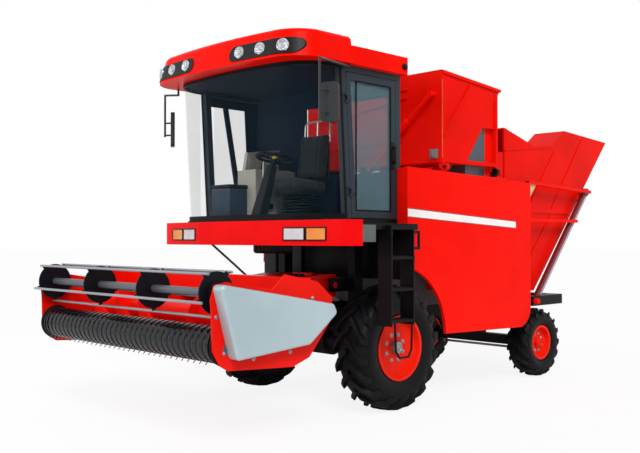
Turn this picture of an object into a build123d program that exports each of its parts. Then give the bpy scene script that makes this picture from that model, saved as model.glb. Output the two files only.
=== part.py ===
"""Self-propelled peanut harvester: pick-up header, cab, tipping peanut bin and tipping vine box.

Millimetres. X runs forward, Y to the driver's left, Z up. Every place below is measured from the
point on the ground under the middle of the front axle; `save` shifts each piece by FRONT_AXLE_X, so
that the finished machine has its origin on the ground in the middle of its footprint.
"""
import math
import os

from build123d import *

# Wheels and axles
FRONT_TYRE_R = 635.0
FRONT_TYRE_W = 385.0
FRONT_RIM_R = 330.0
FRONT_RIM_W = 350.0
FRONT_TRACK = 2004.0
REAR_TYRE_R = 428.0
REAR_TYRE_W = 290.0
REAR_RIM_R = 215.0
REAR_RIM_W = 240.0
REAR_TRACK = 1750.0
WHEELBASE = 2937.0
KINGPIN_Y = 640.0
HUB_R = 90.0
AXLE_TUBE_R = 95.0
RUN_GAP = 6.0
SEAT_GAP = 0.3
PIN_PLAY = 0.08

# Chassis
RAIL_Y = 340.0
RAIL_W = 90.0
RAIL_LOW = 830.0
RAIL_HIGH = 990.0
RAIL_FRONT = 400.0
RAIL_REAR = -WHEELBASE - 193
POST_FOOT = 760.0

# Body
PANEL_OUT_Y = 1165.0
PANEL_T = 35.0
PANEL_FRONT = {"left": -125.0, "right": -190.0}
PANEL_REAR = -2420.0
PANEL_TOP_FRONT = 2470.0
PANEL_TOP_REAR = 2400.0
PANEL_LOW_FRONT = 720.0
PANEL_LOW_REAR = 680.0
PANEL_CORNER_R = 240.0
ARCH_R = 760.0
ARCH_Z = 690.0
HOUSING_HALF_W = 740.0
HOUSING_REAR = -1950.0
DECK_T = 40.0

# Cab
PLATFORM_LOW = 1700.0
PLATFORM_HIGH = 1880.0
BUMPER_LOW = 1667.0
BUMPER_HIGH = 1908.0
BUMPER_T = 40.0
BUMPER_MID_X = 1168.0
BUMPER_MID_Y = 625.0
BUMPER_END_X = 1070.0
BUMPER_END_Y = 1370.0
BUMPER_TIP_X = 850.0
BUMPER_TIP_Y = 1450.0
CAB_LEFT = 1020.0
CAB_RIGHT = -1200.0
CAB_MID = (CAB_LEFT + CAB_RIGHT) / 2
CAB_FLOOR = 1930.0
CAB_EAVES = 3420.0
CAB_REAR = -110.0
PILLAR_X = 620.0
PILLAR_W = 70.0
GLASS_FRONT = 1130.0
GLASS_SIDE_X = 1060.0
GLASS_CORNER = 300.0
GLASS_LEAN = 90.0
GLASS_T = 10.0
ROOF_FRONT = 1425.0
ROOF_REAR = -220.0
ROOF_LEFT = 1105.0
ROOF_RIGHT = -1325.0
ROOF_MID = (ROOF_LEFT + ROOF_RIGHT) / 2
ROOF_HIGH = 3600.0
VISOR_REAR = 600.0
VISOR_HIGH = 3700.0
VISOR_LEAN = 55.0
POD_LOW = 3445.0
POD_HIGH = 3600.0
POD_LONG = 850.0
POD_MID_Y = 722.0
POD_DEEP = 60.0
ROOF_LAMP_R = 52.0

# Header
HEADER_PIVOT_X = 250.0
HEADER_PIVOT_Z = 1250.0
HEADER_IN_Y = 1410.0
PLATE_T = 12.0
COVER_OUT_Y = 1540.0
SHAFT_END = HEADER_IN_Y + PLATE_T - 1
REEL_X = 2437.0
REEL_Z = 1303.0
REEL_DISC_R = 173.0
REEL_DISC_T = 10.0
REEL_DISC_Y = 1342.0
REEL_BARS = 5
REEL_BAR_R = 198.0
REEL_BAR_D = 24.0
REEL_BAR_PHASE = -20.0
REEL_SHAFT_D = 60.0
DRUM_X = 2385.0
DRUM_Z = 885.0
DRUM_R = 150.0
BAND_N = 34
BAND_W = 50.0
TINE_DROP = 22.0
TINE_TIP_R = 176.0
TINE_CORE_R = 105.0
AUGER_X = 1830.0
AUGER_Z = 1040.0
AUGER_R = 225.0
AUGER_TUBE_R = 110.0
FLIGHT_PITCH = 420.0
FLIGHT_T = 8.0
FEEDER_HALF_W = 430.0
HEADER_BACK_X = 1470.0
LIFT_Y = 300.0
LIFT_BASE = (330.0, 760.0)
LIFT_EYE = (1150.0, 825.0)
EAR_IN = 48.0
EAR_T = 12.0
FOOT_PIN_R = 14.0

# Peanut bin
BIN_LEFT = PANEL_OUT_Y - 65
BIN_RIGHT = -1000.0
BIN_FRONT = -780.0
BIN_REAR = -1830.0
BIN_FLOOR_REAR = -1250.0
BIN_LIP_REAR = -1895.0
BIN_LOW = 2560.0
BIN_TOP_FRONT = 3560.0
BIN_TOP_REAR = 3470.0
BIN_WALL = 30.0
BIN_HINGE_Y = PANEL_OUT_Y - 45
BIN_HINGE_Z = 2505.0
BIN_HINGE_R = 22.0
BIN_CYL_X = (-712.0, -1885.0)
BIN_EYE = (1000.0, 3300.0)
BIN_BASE = (50.0, 2530.0)

# Vine box
BOX_HALF_W = PANEL_OUT_Y - 165
BOX_WALL = 25.0
BOX_LOW = 1090.0
BOX_PIVOT_X = -3900.0
BOX_PIVOT_Z = 2350.0
BOX_PIVOT_R = 25.0
LEG_Y = BOX_HALF_W + 75
BEAM_LOW = 910.0
BEAM_HIGH = 1030.0
BOX_CYL_Y = 500.0
BOX_BASE = (RAIL_REAR - 170, 1000.0)
BOX_EYE = (-3759.0, 2049.0)

# Overall
FRONT_TIP = REEL_X + REEL_BAR_R * math.cos(math.radians(REEL_BAR_PHASE)) + REEL_BAR_D / 2
REAR_TIP = -4620.0
FRONT_AXLE_X = -(FRONT_TIP + REAR_TIP) / 2

os.makedirs("parts", exist_ok=True)


def save(part, label):
    """Writes one piece, shifted to the machine's own origin."""
    shifted = part.moved(Location((FRONT_AXLE_X, 0, 0)))
    shifted.label = label
    export_step(shifted, f"parts/{label}.step")


def slab(points, y_low, y_high, mode=Mode.ADD):
    """A side-view outline of (x, z) points, extruded across the machine."""
    with BuildSketch(Plane.XZ.offset(-y_high)) as outline:
        with BuildLine():
            Polyline(*points, close=True)
        make_face()
    extrude(outline.sketch, amount=y_high - y_low, mode=mode)


def tier(points, z_low, z_high, mode=Mode.ADD):
    """A plan outline of (x, y) points, extruded upwards."""
    with BuildSketch(Plane.XY.offset(z_low)) as outline:
        with BuildLine():
            Polyline(*points, close=True)
        make_face()
    extrude(outline.sketch, amount=z_high - z_low, mode=mode)


def block(x, y, z, mode=Mode.ADD):
    """A box between pairs of x, y and z."""
    middle = ((x[0] + x[1]) / 2, (y[0] + y[1]) / 2, (z[0] + z[1]) / 2)
    with Locations(middle):
        Box(abs(x[1] - x[0]), abs(y[1] - y[0]), abs(z[1] - z[0]), mode=mode)


def rod(start, end, radius, mode=Mode.ADD):
    """A round bar between two points."""
    axis = Vector(*end) - Vector(*start)
    with BuildSketch(Plane(origin=start, z_dir=axis)) as section:
        Circle(radius)
    extrude(section.sketch, amount=axis.length, mode=mode)


def tube(points, radius):
    """A bent round bar through points."""
    with BuildLine() as path:
        Polyline(*points)
    with BuildSketch(Plane(origin=path.line @ 0, z_dir=path.line % 0)) as section:
        Circle(radius)
    sweep(section.sketch, path=path.line, transition=Transition.RIGHT)


def lathe(profile, centre, mode=Mode.ADD):
    """Turns (y, radius) points round a sideways axis through centre."""
    plane = Plane(origin=centre, x_dir=(0, 1, 0), z_dir=(1, 0, 0))
    with BuildSketch(plane) as section:
        with BuildLine():
            Polyline(*profile, close=True)
        make_face()
    revolve(section.sketch, axis=Axis(centre, (0, 1, 0)), mode=mode)


# Wheels: a lugged tyre and a dished rim each, with the disc towards the machine's middle
def ring_plane(centre, y):
    """A plane across the wheel's axis, y away from the wheel's middle."""
    return Plane(origin=(centre[0], centre[1] + y, centre[2]), x_dir=(1, 0, 0), z_dir=(0, 1, 0))


def drum(sections, sides, centre):
    """A many-sided drum through (y, radius) sections."""
    with BuildPart() as solid:
        for y, radius in sections:
            with BuildSketch(ring_plane(centre, y)):
                RegularPolygon(radius, sides)
        loft(ruled=True)
    return solid.part


def tyre(radius, width, rim_r, rim_w, sides, lugs, centre):
    """A carcass with slanted lugs that meet near the middle of the tread, on alternate sides."""
    half = width / 2
    bead_r = (rim_r - 18) / math.cos(math.pi / sides)
    bead_y = rim_w / 2 - 12 - SEAT_GAP
    lug_long = width * 0.54
    lug_wide = width * 0.15
    lug_deep = radius * 0.13
    slant = math.radians(38)
    reach = lug_long / 2 * math.sin(slant) + lug_wide / 2 * math.cos(slant)
    lug_top = math.sqrt(radius ** 2 - reach ** 2)
    tread = lug_top - radius * 0.045
    shoulder = [(half * 0.66, tread), (half, radius * 0.8)]
    carcass = drum([(-y, r) for y, r in shoulder[::-1]] + shoulder, sides, centre)
    bore = drum([(-half - 1, bead_r), (half + 1, bead_r)], sides, centre)
    lip_r = (rim_r + 2) / math.cos(math.pi / sides)
    hollows = [drum([(side * bead_y, lip_r), (side * (half + 1), radius * 0.73)], sides, centre) for side in (1, -1)]
    # a corner of the lowest lug stands on the ground
    first = math.asin(reach / radius) - math.pi / 2
    places = []
    for side, step in ((1, 0.5), (-1, 0)):
        for i in range(lugs):
            turn = 2 * math.pi * (i + step) / lugs + first
            out = Vector(math.cos(turn), 0, math.sin(turn))
            along = Vector(-math.sin(turn), 0, math.cos(turn)) * math.sin(slant) + Vector(0, side * math.cos(slant), 0)
            origin = Vector(*centre) + out * (lug_top - lug_deep / 2) + Vector(0, side * width * 0.235, 0)
            places.append(Plane(origin=origin, x_dir=along, z_dir=out))
    with BuildPart() as rubber:
        add(carcass)
        with Locations(*places):
            Box(lug_long, lug_wide, lug_deep)
        add(bore, mode=Mode.SUBTRACT)
        add(hollows, mode=Mode.SUBTRACT)
    return rubber.part


def rim(rim_r, rim_w, side, disc_y, centre):
    """A rim barrel with flanges, closed by a disc with a hub; disc_y is outwards of the wheel's middle plane."""
    half = rim_w / 2
    wall = 12.0
    seat = rim_r - 18 - SEAT_GAP
    barrel = [
        (-half, rim_r), (-half, seat - wall), (half, seat - wall), (half, rim_r), (half - wall, rim_r),
        (half - wall, seat), (-half + wall, seat), (-half + wall, rim_r),
    ]
    lathe(barrel, centre)
    y = side * disc_y
    thick = 14.0
    lathe([(y - thick / 2, 0), (y - thick / 2, seat - wall / 2), (y + thick / 2, seat - wall / 2), (y + thick / 2, 0)],
          centre)
    hub_in = y - side * 60
    hub_out = y + side * 45
    lathe([(hub_in, 0), (hub_in, HUB_R), (y, HUB_R), (y, 60), (hub_out, 60), (hub_out, 0)], centre)


FRONT_DISC_Y = 90.0
REAR_DISC_Y = 40.0
for name, side in (("left", 1), ("right", -1)):
    centre = (0, side * FRONT_TRACK / 2, FRONT_TYRE_R)
    save(tyre(FRONT_TYRE_R, FRONT_TYRE_W, FRONT_RIM_R, FRONT_RIM_W, 26, 13, centre), f"front_tyre_{name}")
    with BuildPart() as front_rim:
        rim(FRONT_RIM_R, FRONT_RIM_W, side, FRONT_DISC_Y, centre)
    save(front_rim.part, f"front_rim_{name}")

    centre = (-WHEELBASE, side * REAR_TRACK / 2, REAR_TYRE_R)
    save(tyre(REAR_TYRE_R, REAR_TYRE_W, REAR_RIM_R, REAR_RIM_W, 22, 11, centre), f"rear_tyre_{name}")
    with BuildPart() as rear_rim:
        rim(REAR_RIM_R, REAR_RIM_W, side, REAR_DISC_Y, centre)
    save(rear_rim.part, f"rear_rim_{name}")

# Front drive axle: housing, gearbox and final drives that carry the hubs
front_hub_y = FRONT_TRACK / 2 + FRONT_DISC_Y - 60
with BuildPart() as front_axle:
    rod((0, -front_hub_y + 180, FRONT_TYRE_R), (0, front_hub_y - 180, FRONT_TYRE_R), AXLE_TUBE_R)
    for side in (1, -1):
        rod((0, side * (front_hub_y - 180), FRONT_TYRE_R), (0, side * (front_hub_y - SEAT_GAP), FRONT_TYRE_R), 150)
        block((-70, 70), (side * 295, side * 385), (FRONT_TYRE_R, RAIL_LOW))
        block((-60, 60), (side * 500, side * 600), (FRONT_TYRE_R, POST_FOOT))
    rod((-40, -190, FRONT_TYRE_R), (-40, 190, FRONT_TYRE_R), 165)
save(front_axle.part, "front_axle")

# Rear steering axle: a beam hung from the rails, with a kingpin at each end
with BuildPart() as rear_axle:
    block((-WHEELBASE - 60, -WHEELBASE + 60), (-KINGPIN_Y + 70, KINGPIN_Y - 70), (REAR_TYRE_R - 60, REAR_TYRE_R + 60))
    for side in (1, -1):
        rod((-WHEELBASE, side * KINGPIN_Y, REAR_TYRE_R - 60), (-WHEELBASE, side * KINGPIN_Y, REAR_TYRE_R + 60), 45)
        block((-WHEELBASE - 45, -WHEELBASE + 45), (side * (KINGPIN_Y - 80), side * KINGPIN_Y),
              (REAR_TYRE_R - 60, REAR_TYRE_R + 60))
        rod((-WHEELBASE, side * KINGPIN_Y, REAR_TYRE_R - 105), (-WHEELBASE, side * KINGPIN_Y, REAR_TYRE_R + 105), 20)
    block((-WHEELBASE - 80, -WHEELBASE + 80), (-110, 110), (REAR_TYRE_R + 60, RAIL_LOW))
save(rear_axle.part, "rear_axle")

# Steering knuckles: a fork on the kingpin, a stub axle for the wheel and a steering arm
rear_hub_y = REAR_TRACK / 2 + REAR_DISC_Y - 60
ARM_BACK = 170.0
for name, side in (("left", 1), ("right", -1)):
    y_pin = side * KINGPIN_Y
    y_back = side * (KINGPIN_Y + 55)
    with BuildPart() as knuckle:
        for z in ((REAR_TYRE_R - 95, REAR_TYRE_R - 66), (REAR_TYRE_R + 66, REAR_TYRE_R + 95)):
            rod((-WHEELBASE, y_pin, z[0]), (-WHEELBASE, y_pin, z[1]), 45)
            block((-WHEELBASE - 45, -WHEELBASE + 45), (y_pin, y_back), z)
        block((-WHEELBASE - 45, -WHEELBASE + 45), (y_back, y_back + side * 30), (REAR_TYRE_R - 95, REAR_TYRE_R + 95))
        rod((-WHEELBASE, y_back, REAR_TYRE_R), (-WHEELBASE, side * (rear_hub_y - SEAT_GAP), REAR_TYRE_R), 40)
        block((-WHEELBASE - ARM_BACK, -WHEELBASE - 30), (y_pin - 25, y_pin + 25), (REAR_TYRE_R - 95, REAR_TYRE_R - 66))
        rod((-WHEELBASE, y_pin, REAR_TYRE_R - 110), (-WHEELBASE, y_pin, REAR_TYRE_R + 110), 20 + PIN_PLAY, mode=Mode.SUBTRACT)
    save(knuckle.part, f"knuckle_{name}")
with BuildPart() as tie_rod:
    z_rod = REAR_TYRE_R - 95 - RUN_GAP - 16
    x_rod = -WHEELBASE - ARM_BACK + 25
    rod((x_rod, -KINGPIN_Y, z_rod), (x_rod, KINGPIN_Y, z_rod), 16)
    for y in (-KINGPIN_Y, KINGPIN_Y):
        rod((x_rod, y, z_rod - 20), (x_rod, y, REAR_TYRE_R - 95 - SEAT_GAP), 22)
save(tie_rod.part, "tie_rod")

# Chassis: two rails with cross members
with BuildPart() as chassis_frame:
    for side in (1, -1):
        y = side * RAIL_Y
        block((RAIL_REAR, RAIL_FRONT), (y - RAIL_W / 2, y + RAIL_W / 2), (RAIL_LOW, RAIL_HIGH))
    for x in (RAIL_FRONT - 60, -760, -1700, RAIL_REAR + 530):
        block((x - 50, x + 50), (-RAIL_Y, RAIL_Y), (RAIL_LOW + 20, RAIL_HIGH - 20))
    block((-WHEELBASE - 90, -WHEELBASE + 90), (-RAIL_Y, RAIL_Y), (RAIL_LOW, RAIL_HIGH - 20))
    for y in (LIFT_Y, -LIFT_Y):
        for y_ear in (y - EAR_IN - EAR_T, y + EAR_IN):
            slab([(285, RAIL_LOW + 20), (285, 720), (375, 720), (375, RAIL_LOW + 20)], y_ear, y_ear + EAR_T)
        block((285, 375), (y - EAR_IN - EAR_T, y + EAR_IN + EAR_T), (RAIL_LOW - 12, RAIL_LOW + 20))
        rod((LIFT_BASE[0], y - EAR_IN - EAR_T, LIFT_BASE[1]), (LIFT_BASE[0], y + EAR_IN + EAR_T, LIFT_BASE[1]), FOOT_PIN_R)
save(chassis_frame.part, "chassis_frame")

# Engine: one plain block behind the front axle, on the rails
with BuildPart() as engine_block:
    block((-1650, -820), (-330, 330), (RAIL_LOW - 170, RAIL_LOW))
save(engine_block.part, "engine_block")

# Threshing and cleaning housing, closed
housing_outline = [
    (-300, 1150), (-300, 2400), (HOUSING_REAR, 2400), (HOUSING_REAR, RAIL_HIGH), (-720, RAIL_HIGH),
]
with BuildPart() as thresher_housing:
    slab(housing_outline, -HOUSING_HALF_W, HOUSING_HALF_W)
save(thresher_housing.part, "thresher_housing")

# Side panels, each with an arch over the front wheel
for name, side in (("left", 1), ("right", -1)):
    inner = PANEL_OUT_Y - PANEL_T
    front = PANEL_FRONT[name]
    panel_outline = [
        (front, PANEL_LOW_FRONT), (front, PANEL_TOP_FRONT), (PANEL_REAR, PANEL_TOP_REAR), (PANEL_REAR, PANEL_LOW_REAR),
        (-700, PANEL_LOW_FRONT),
    ]
    with BuildPart() as body_panel:
        slab(panel_outline, min(side * inner, side * PANEL_OUT_Y), max(side * inner, side * PANEL_OUT_Y))
        low_rear = body_panel.edges().filter_by(Axis.Y).group_by(Axis.X)[0].sort_by(Axis.Z)[0]
        fillet(low_rear, PANEL_CORNER_R)
        rod((0, side * 1000, ARCH_Z), (0, side * 1300, ARCH_Z), ARCH_R, mode=Mode.SUBTRACT)
        block((front - 40, 100), (side * 1000, side * 1300), (600, ARCH_Z + ARCH_R), mode=Mode.SUBTRACT)
        # stays that carry the panel on the housing
        for x, z in ((-500, 2200), (-1700, 2200), (-1000, 1200), (-1700, 1200)):
            block((x - 40, x + 40), (side * (HOUSING_HALF_W), side * inner), (z - 40, z + 40))
    save(body_panel.part, f"body_panel_{name}")

# Deck between the panels, over the housing
deck_in = PANEL_OUT_Y - PANEL_T
with BuildPart() as body_deck:
    slab([(-300, 2400), (-300, 2400 + DECK_T), (HOUSING_REAR, 2400 + DECK_T), (HOUSING_REAR, 2400)],
         -deck_in, deck_in)
    block((-260, -225), (-deck_in, deck_in), (1480, 2400 + DECK_T))
    block((-300, -240), (-HOUSING_HALF_W, HOUSING_HALF_W), (2300, 2400 + DECK_T))
save(body_deck.part, "body_deck")

# Cab platform on posts above the front axle, with a walkway at the door side and ears for the header's pivot
bumper_line = [
    (BUMPER_TIP_X, BUMPER_TIP_Y), (BUMPER_END_X, BUMPER_END_Y), (BUMPER_MID_X, BUMPER_MID_Y),
    (BUMPER_MID_X, -BUMPER_MID_Y), (BUMPER_END_X, -BUMPER_END_Y), (BUMPER_TIP_X, -BUMPER_TIP_Y),
]
bumper_back = [(x - BUMPER_T, y * 0.972) for x, y in bumper_line]
platform_outline = [
    (-200, 1100), (0, 1100), (0, 1400), (700, 1400), *bumper_back, (0, -1300), (0, -1100), (-200, -1100),
]
with BuildPart() as cab_platform:
    tier(platform_outline, PLATFORM_LOW + 120, PLATFORM_HIGH)
    for side in (1, -1):
        block((-150, 900), (side * 500, side * 600), (PLATFORM_LOW, PLATFORM_LOW + 120))
        block((-60, 60), (side * 500, side * 600), (POST_FOOT, PLATFORM_LOW))
        block((-60, 320), (side * 470, side * 500), (HEADER_PIVOT_Z - 70, HEADER_PIVOT_Z + 70))
        rod((HEADER_PIVOT_X, side * 400, HEADER_PIVOT_Z), (HEADER_PIVOT_X, side * 520, HEADER_PIVOT_Z), 30 + PIN_PLAY,
            mode=Mode.SUBTRACT)
    block((CAB_REAR - PILLAR_W - 5, 900), (CAB_RIGHT, CAB_LEFT), (PLATFORM_HIGH, CAB_FLOOR))
save(cab_platform.part, "cab_platform")

# Bumper: a bent band round the platform's front, with a pocket for the lamps in each slanted facet
def facet(side, start, end, back, proud):
    """A plan strip on a slanted facet, between two shares of its length, from behind its face to proud of it."""
    run = Vector(BUMPER_END_X - BUMPER_MID_X, BUMPER_END_Y - BUMPER_MID_Y)
    out = Vector(run.Y, -run.X).normalized()
    base = Vector(BUMPER_MID_X, BUMPER_MID_Y)
    corners = [base + run * start - out * back, base + run * start + out * proud, base + run * end + out * proud,
               base + run * end - out * back]
    return [(point.X, side * point.Y) for point in corners]


LAMP_Z = (1725.0, 1830.0)
LAMP_SHARES = {"pocket": (0.12, 0.78), "head": (0.12, 0.44), "turn": (0.49, 0.78)}
with BuildPart() as cab_bumper:
    tier(bumper_line + bumper_back[::-1], BUMPER_LOW, BUMPER_HIGH)
    for side in (1, -1):
        tier(facet(side, *LAMP_SHARES["pocket"], 22, 30), *LAMP_Z, mode=Mode.SUBTRACT)
save(cab_bumper.part, "cab_bumper")
for name in ("head", "turn"):
    with BuildPart() as lamps:
        for side in (1, -1):
            tier(facet(side, *LAMP_SHARES[name], 22, 6), *LAMP_Z)
    save(lamps.part, f"{name}_lamps")


# Cab: glass line, pillars, roof
def glass_line(grow, lean):
    """The plan of the front glass from the left pillar round to the right, moved out by grow and forward by lean."""
    near = GLASS_SIDE_X + lean + grow
    bend_x = PILLAR_X + 290 + lean + grow * 0.7
    bend = 95 - grow * 0.7
    with BuildLine() as line:
        left = ThreePointArc((PILLAR_X + lean, CAB_LEFT + grow), (bend_x, CAB_LEFT - bend), (near, CAB_LEFT - GLASS_CORNER))
        ThreePointArc(left @ 1, (GLASS_FRONT + lean + grow, CAB_MID), (near, CAB_RIGHT + GLASS_CORNER))
        right = ThreePointArc((near, CAB_RIGHT + GLASS_CORNER), (bend_x, CAB_RIGHT + bend),
                              (PILLAR_X + lean, CAB_RIGHT - grow))
        Line(right @ 1, left @ 0)
    return line.line


def glass_solid(grow, z_low, z_high):
    """A leaning solid inside the glass line."""
    with BuildPart() as solid:
        with BuildSketch(Plane.XY.offset(z_low)) as low:
            add(glass_line(grow, 0))
            make_face()
        with BuildSketch(Plane.XY.offset(z_high)) as high:
            add(glass_line(grow, GLASS_LEAN))
            make_face()
        loft(ruled=True)
    return solid.part


glass_outer = glass_solid(0, CAB_FLOOR, CAB_EAVES)
glass_inner = glass_solid(-GLASS_T, CAB_FLOOR, CAB_EAVES)
with BuildPart() as windshield:
    add(glass_outer)
    add(glass_inner, mode=Mode.SUBTRACT)
    block((0, PILLAR_X + GLASS_LEAN + 30), (-1400, 1400), (CAB_FLOOR, CAB_EAVES), mode=Mode.SUBTRACT)
save(windshield.part, "windshield")

# Door hinges on the leaning front pillar: pins on the frame, sleeves on the door
post = PILLAR_W
DOOR_GAP = 6.0
HINGE_R = 13.0
HINGE_PIN_R = 8.0
door_front = PILLAR_X - post - DOOR_GAP
door_low = CAB_FLOOR + DOOR_GAP
door_high = CAB_EAVES - 60 - DOOR_GAP
door_lean = GLASS_LEAN * 0.95
hinge_step = Vector(door_lean, 0, door_high - door_low).normalized()
hinge_foot = Vector(door_front + 3, CAB_LEFT + 14, door_low)


def hinge_span(share, low, high):
    """Two points on the hinge line, low and high of a place at a share of the door's height."""
    middle = hinge_foot + hinge_step * (share * (door_high - door_low))
    return middle + hinge_step * low, middle + hinge_step * high


# Cab frame: rear wall with a window, corner posts and sills
with BuildPart() as cab_frame:
    for y_out, y_in in ((CAB_LEFT, CAB_LEFT - post), (CAB_RIGHT, CAB_RIGHT + post)):
        slab([(PILLAR_X - post, CAB_FLOOR), (PILLAR_X, CAB_FLOOR), (PILLAR_X + GLASS_LEAN, CAB_EAVES),
              (PILLAR_X + GLASS_LEAN - post, CAB_EAVES)], min(y_in, y_out), max(y_in, y_out))
        block((CAB_REAR - post, CAB_REAR), (y_in, y_out), (CAB_FLOOR, CAB_EAVES))
    block((CAB_REAR - post, CAB_REAR), (CAB_RIGHT, CAB_LEFT), (CAB_FLOOR, CAB_FLOOR + 500))
    block((CAB_REAR - post, CAB_REAR), (CAB_RIGHT, CAB_LEFT), (CAB_EAVES - 160, CAB_EAVES))
    block((CAB_REAR, PILLAR_X - 30), (CAB_RIGHT, CAB_RIGHT + post), (CAB_FLOOR, CAB_FLOOR + 60))
    block((CAB_REAR, PILLAR_X + 40), (CAB_RIGHT, CAB_RIGHT + post), (CAB_EAVES - 60, CAB_EAVES))
    block((CAB_REAR, PILLAR_X + 40), (CAB_LEFT - post, CAB_LEFT), (CAB_EAVES - 60, CAB_EAVES))
    for share in (0.18, 0.82):
        start, end = hinge_span(share, -40, 40)
        rod(tuple(start), tuple(end), HINGE_PIN_R)
        for low, high in ((-40, -24), (24, 40)):
            start, end = hinge_span(share, low, high)
            rod(tuple(start), tuple(end), HINGE_R)
            block((start.X, start.X + 34), (CAB_LEFT, CAB_LEFT + 26), (start.Z, end.Z))
save(cab_frame.part, "cab_frame")

# Right side window and rear window
with BuildPart() as cab_glass:
    slab([(CAB_REAR, CAB_FLOOR + 60), (PILLAR_X - post, CAB_FLOOR + 60), (PILLAR_X - post, CAB_EAVES - 60),
          (CAB_REAR, CAB_EAVES - 60)], CAB_RIGHT + 20, CAB_RIGHT + 20 + GLASS_T)
    block((CAB_REAR - 40, CAB_REAR - 40 + GLASS_T), (CAB_RIGHT + post, CAB_LEFT - post),
          (CAB_FLOOR + 500, CAB_EAVES - 160))
save(cab_glass.part, "cab_glass")

# Roof: a shallow tray behind, and in front of it a bowed visor with two lamp pods
def roof_line(grow):
    """The visor's plan, moved out by grow, closed straight across at its rear."""
    left = ROOF_LEFT + grow
    right = ROOF_RIGHT - grow
    front = ROOF_FRONT + grow
    with BuildLine() as line:
        corner = ThreePointArc((front - 355, left), (front - 136, left - 137), (front - 50, left - 380))
        bow = ThreePointArc(corner @ 1, (front, ROOF_MID), (front - 50, right + 380))
        far = ThreePointArc(bow @ 1, (front - 136, right + 137), (front - 355, right))
        Polyline(far @ 1, (VISOR_REAR, right), (VISOR_REAR, left), corner @ 0)
    return line.line


def visor_solid(grow):
    """The visor's body, leaning in towards its top."""
    with BuildPart() as solid:
        with BuildSketch(Plane.XY.offset(CAB_EAVES)):
            add(roof_line(grow))
            make_face()
        with BuildSketch(Plane.XY.offset(VISOR_HIGH)):
            add(roof_line(grow - VISOR_LEAN))
            make_face()
        loft(ruled=True)
    return solid.part


# sideways from the roof's middle, forwards, turn outwards
LAMP_TABLE = ((440, 1391, 3), (720, 1368, 6), (990, 1322, 23))


def lamp_line(side, sideways, forwards, turn, depth, proud):
    """The two ends of a roof lamp's axis."""
    face = Vector(forwards, ROOF_MID + side * sideways, (POD_LOW + POD_HIGH) / 2)
    way = Vector(math.cos(math.radians(turn)), side * math.sin(math.radians(turn)), 0)
    return tuple(face - way * depth), tuple(face + way * proud)


visor = visor_solid(0)
visor_grown = visor_solid(8)
visor_shrunk = visor_solid(-POD_DEEP)
with BuildPart() as lamp_pods:
    for side in (1, -1):
        middle = (ROOF_FRONT - 300, ROOF_MID + side * POD_MID_Y, (POD_LOW + POD_HIGH) / 2)
        with BuildSketch(Plane(origin=middle, x_dir=(0, 1, 0), z_dir=(1, 0, 0))):
            SlotOverall(POD_LONG, POD_HIGH - POD_LOW)
        extrude(amount=800)
    add(visor_grown, mode=Mode.INTERSECT)
    add(visor_shrunk, mode=Mode.SUBTRACT)
with BuildPart() as cab_roof:
    add(visor)
    fillet(cab_roof.edges().group_by(Axis.Z)[-1].sort_by(Axis.X)[1:], 60)
    block((ROOF_REAR, VISOR_REAR), (ROOF_RIGHT + 15, ROOF_LEFT - 15), (CAB_EAVES, ROOF_HIGH))
    add(lamp_pods.part, mode=Mode.SUBTRACT)
save(cab_roof.part, "cab_roof")
with BuildPart() as roof_lamps:
    for side in (1, -1):
        for sideways, forwards, turn in LAMP_TABLE:
            start, end = lamp_line(side, sideways, forwards, turn, 34, 14)
            rod(start, end, ROOF_LAMP_R)
save(roof_lamps.part, "roof_lamps")
with BuildPart() as pods:
    add(lamp_pods.part)
    for side in (1, -1):
        for sideways, forwards, turn in LAMP_TABLE:
            start, end = lamp_line(side, sideways, forwards, turn, 34, 90)
            rod(start, end, ROOF_LAMP_R, mode=Mode.SUBTRACT)
save(pods.part, "lamp_pods")

# Door on the left, hinged at its front edge
with BuildPart() as cab_door:
    slab([(CAB_REAR + DOOR_GAP, door_low), (door_front, door_low), (door_front + door_lean, door_high),
          (CAB_REAR + DOOR_GAP, door_high)], CAB_LEFT - 45, CAB_LEFT)
    slab([(CAB_REAR + 80, CAB_FLOOR + 80), (door_front - 60, CAB_FLOOR + 80),
          (door_front - 60 + GLASS_LEAN * 0.9, CAB_EAVES - 140), (CAB_REAR + 80, CAB_EAVES - 140)],
         CAB_LEFT - 45, CAB_LEFT, mode=Mode.SUBTRACT)
    for share in (0.18, 0.82):
        start, end = hinge_span(share, -18, 18)
        rod(tuple(start), tuple(end), HINGE_R)
        block((start.X - 40, start.X), (CAB_LEFT, CAB_LEFT + 26), (start.Z, end.Z))
        rod(tuple(start - hinge_step * 10), tuple(end + hinge_step * 10), HINGE_PIN_R + PIN_PLAY, mode=Mode.SUBTRACT)
save(cab_door.part, "cab_door")
with BuildPart() as door_glass:
    slab([(CAB_REAR + 80, CAB_FLOOR + 80), (door_front - 60, CAB_FLOOR + 80),
          (door_front - 60 + GLASS_LEAN * 0.9, CAB_EAVES - 140), (CAB_REAR + 80, CAB_EAVES - 140)],
         CAB_LEFT - 25, CAB_LEFT - 25 + GLASS_T)
save(door_glass.part, "door_glass")

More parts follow.
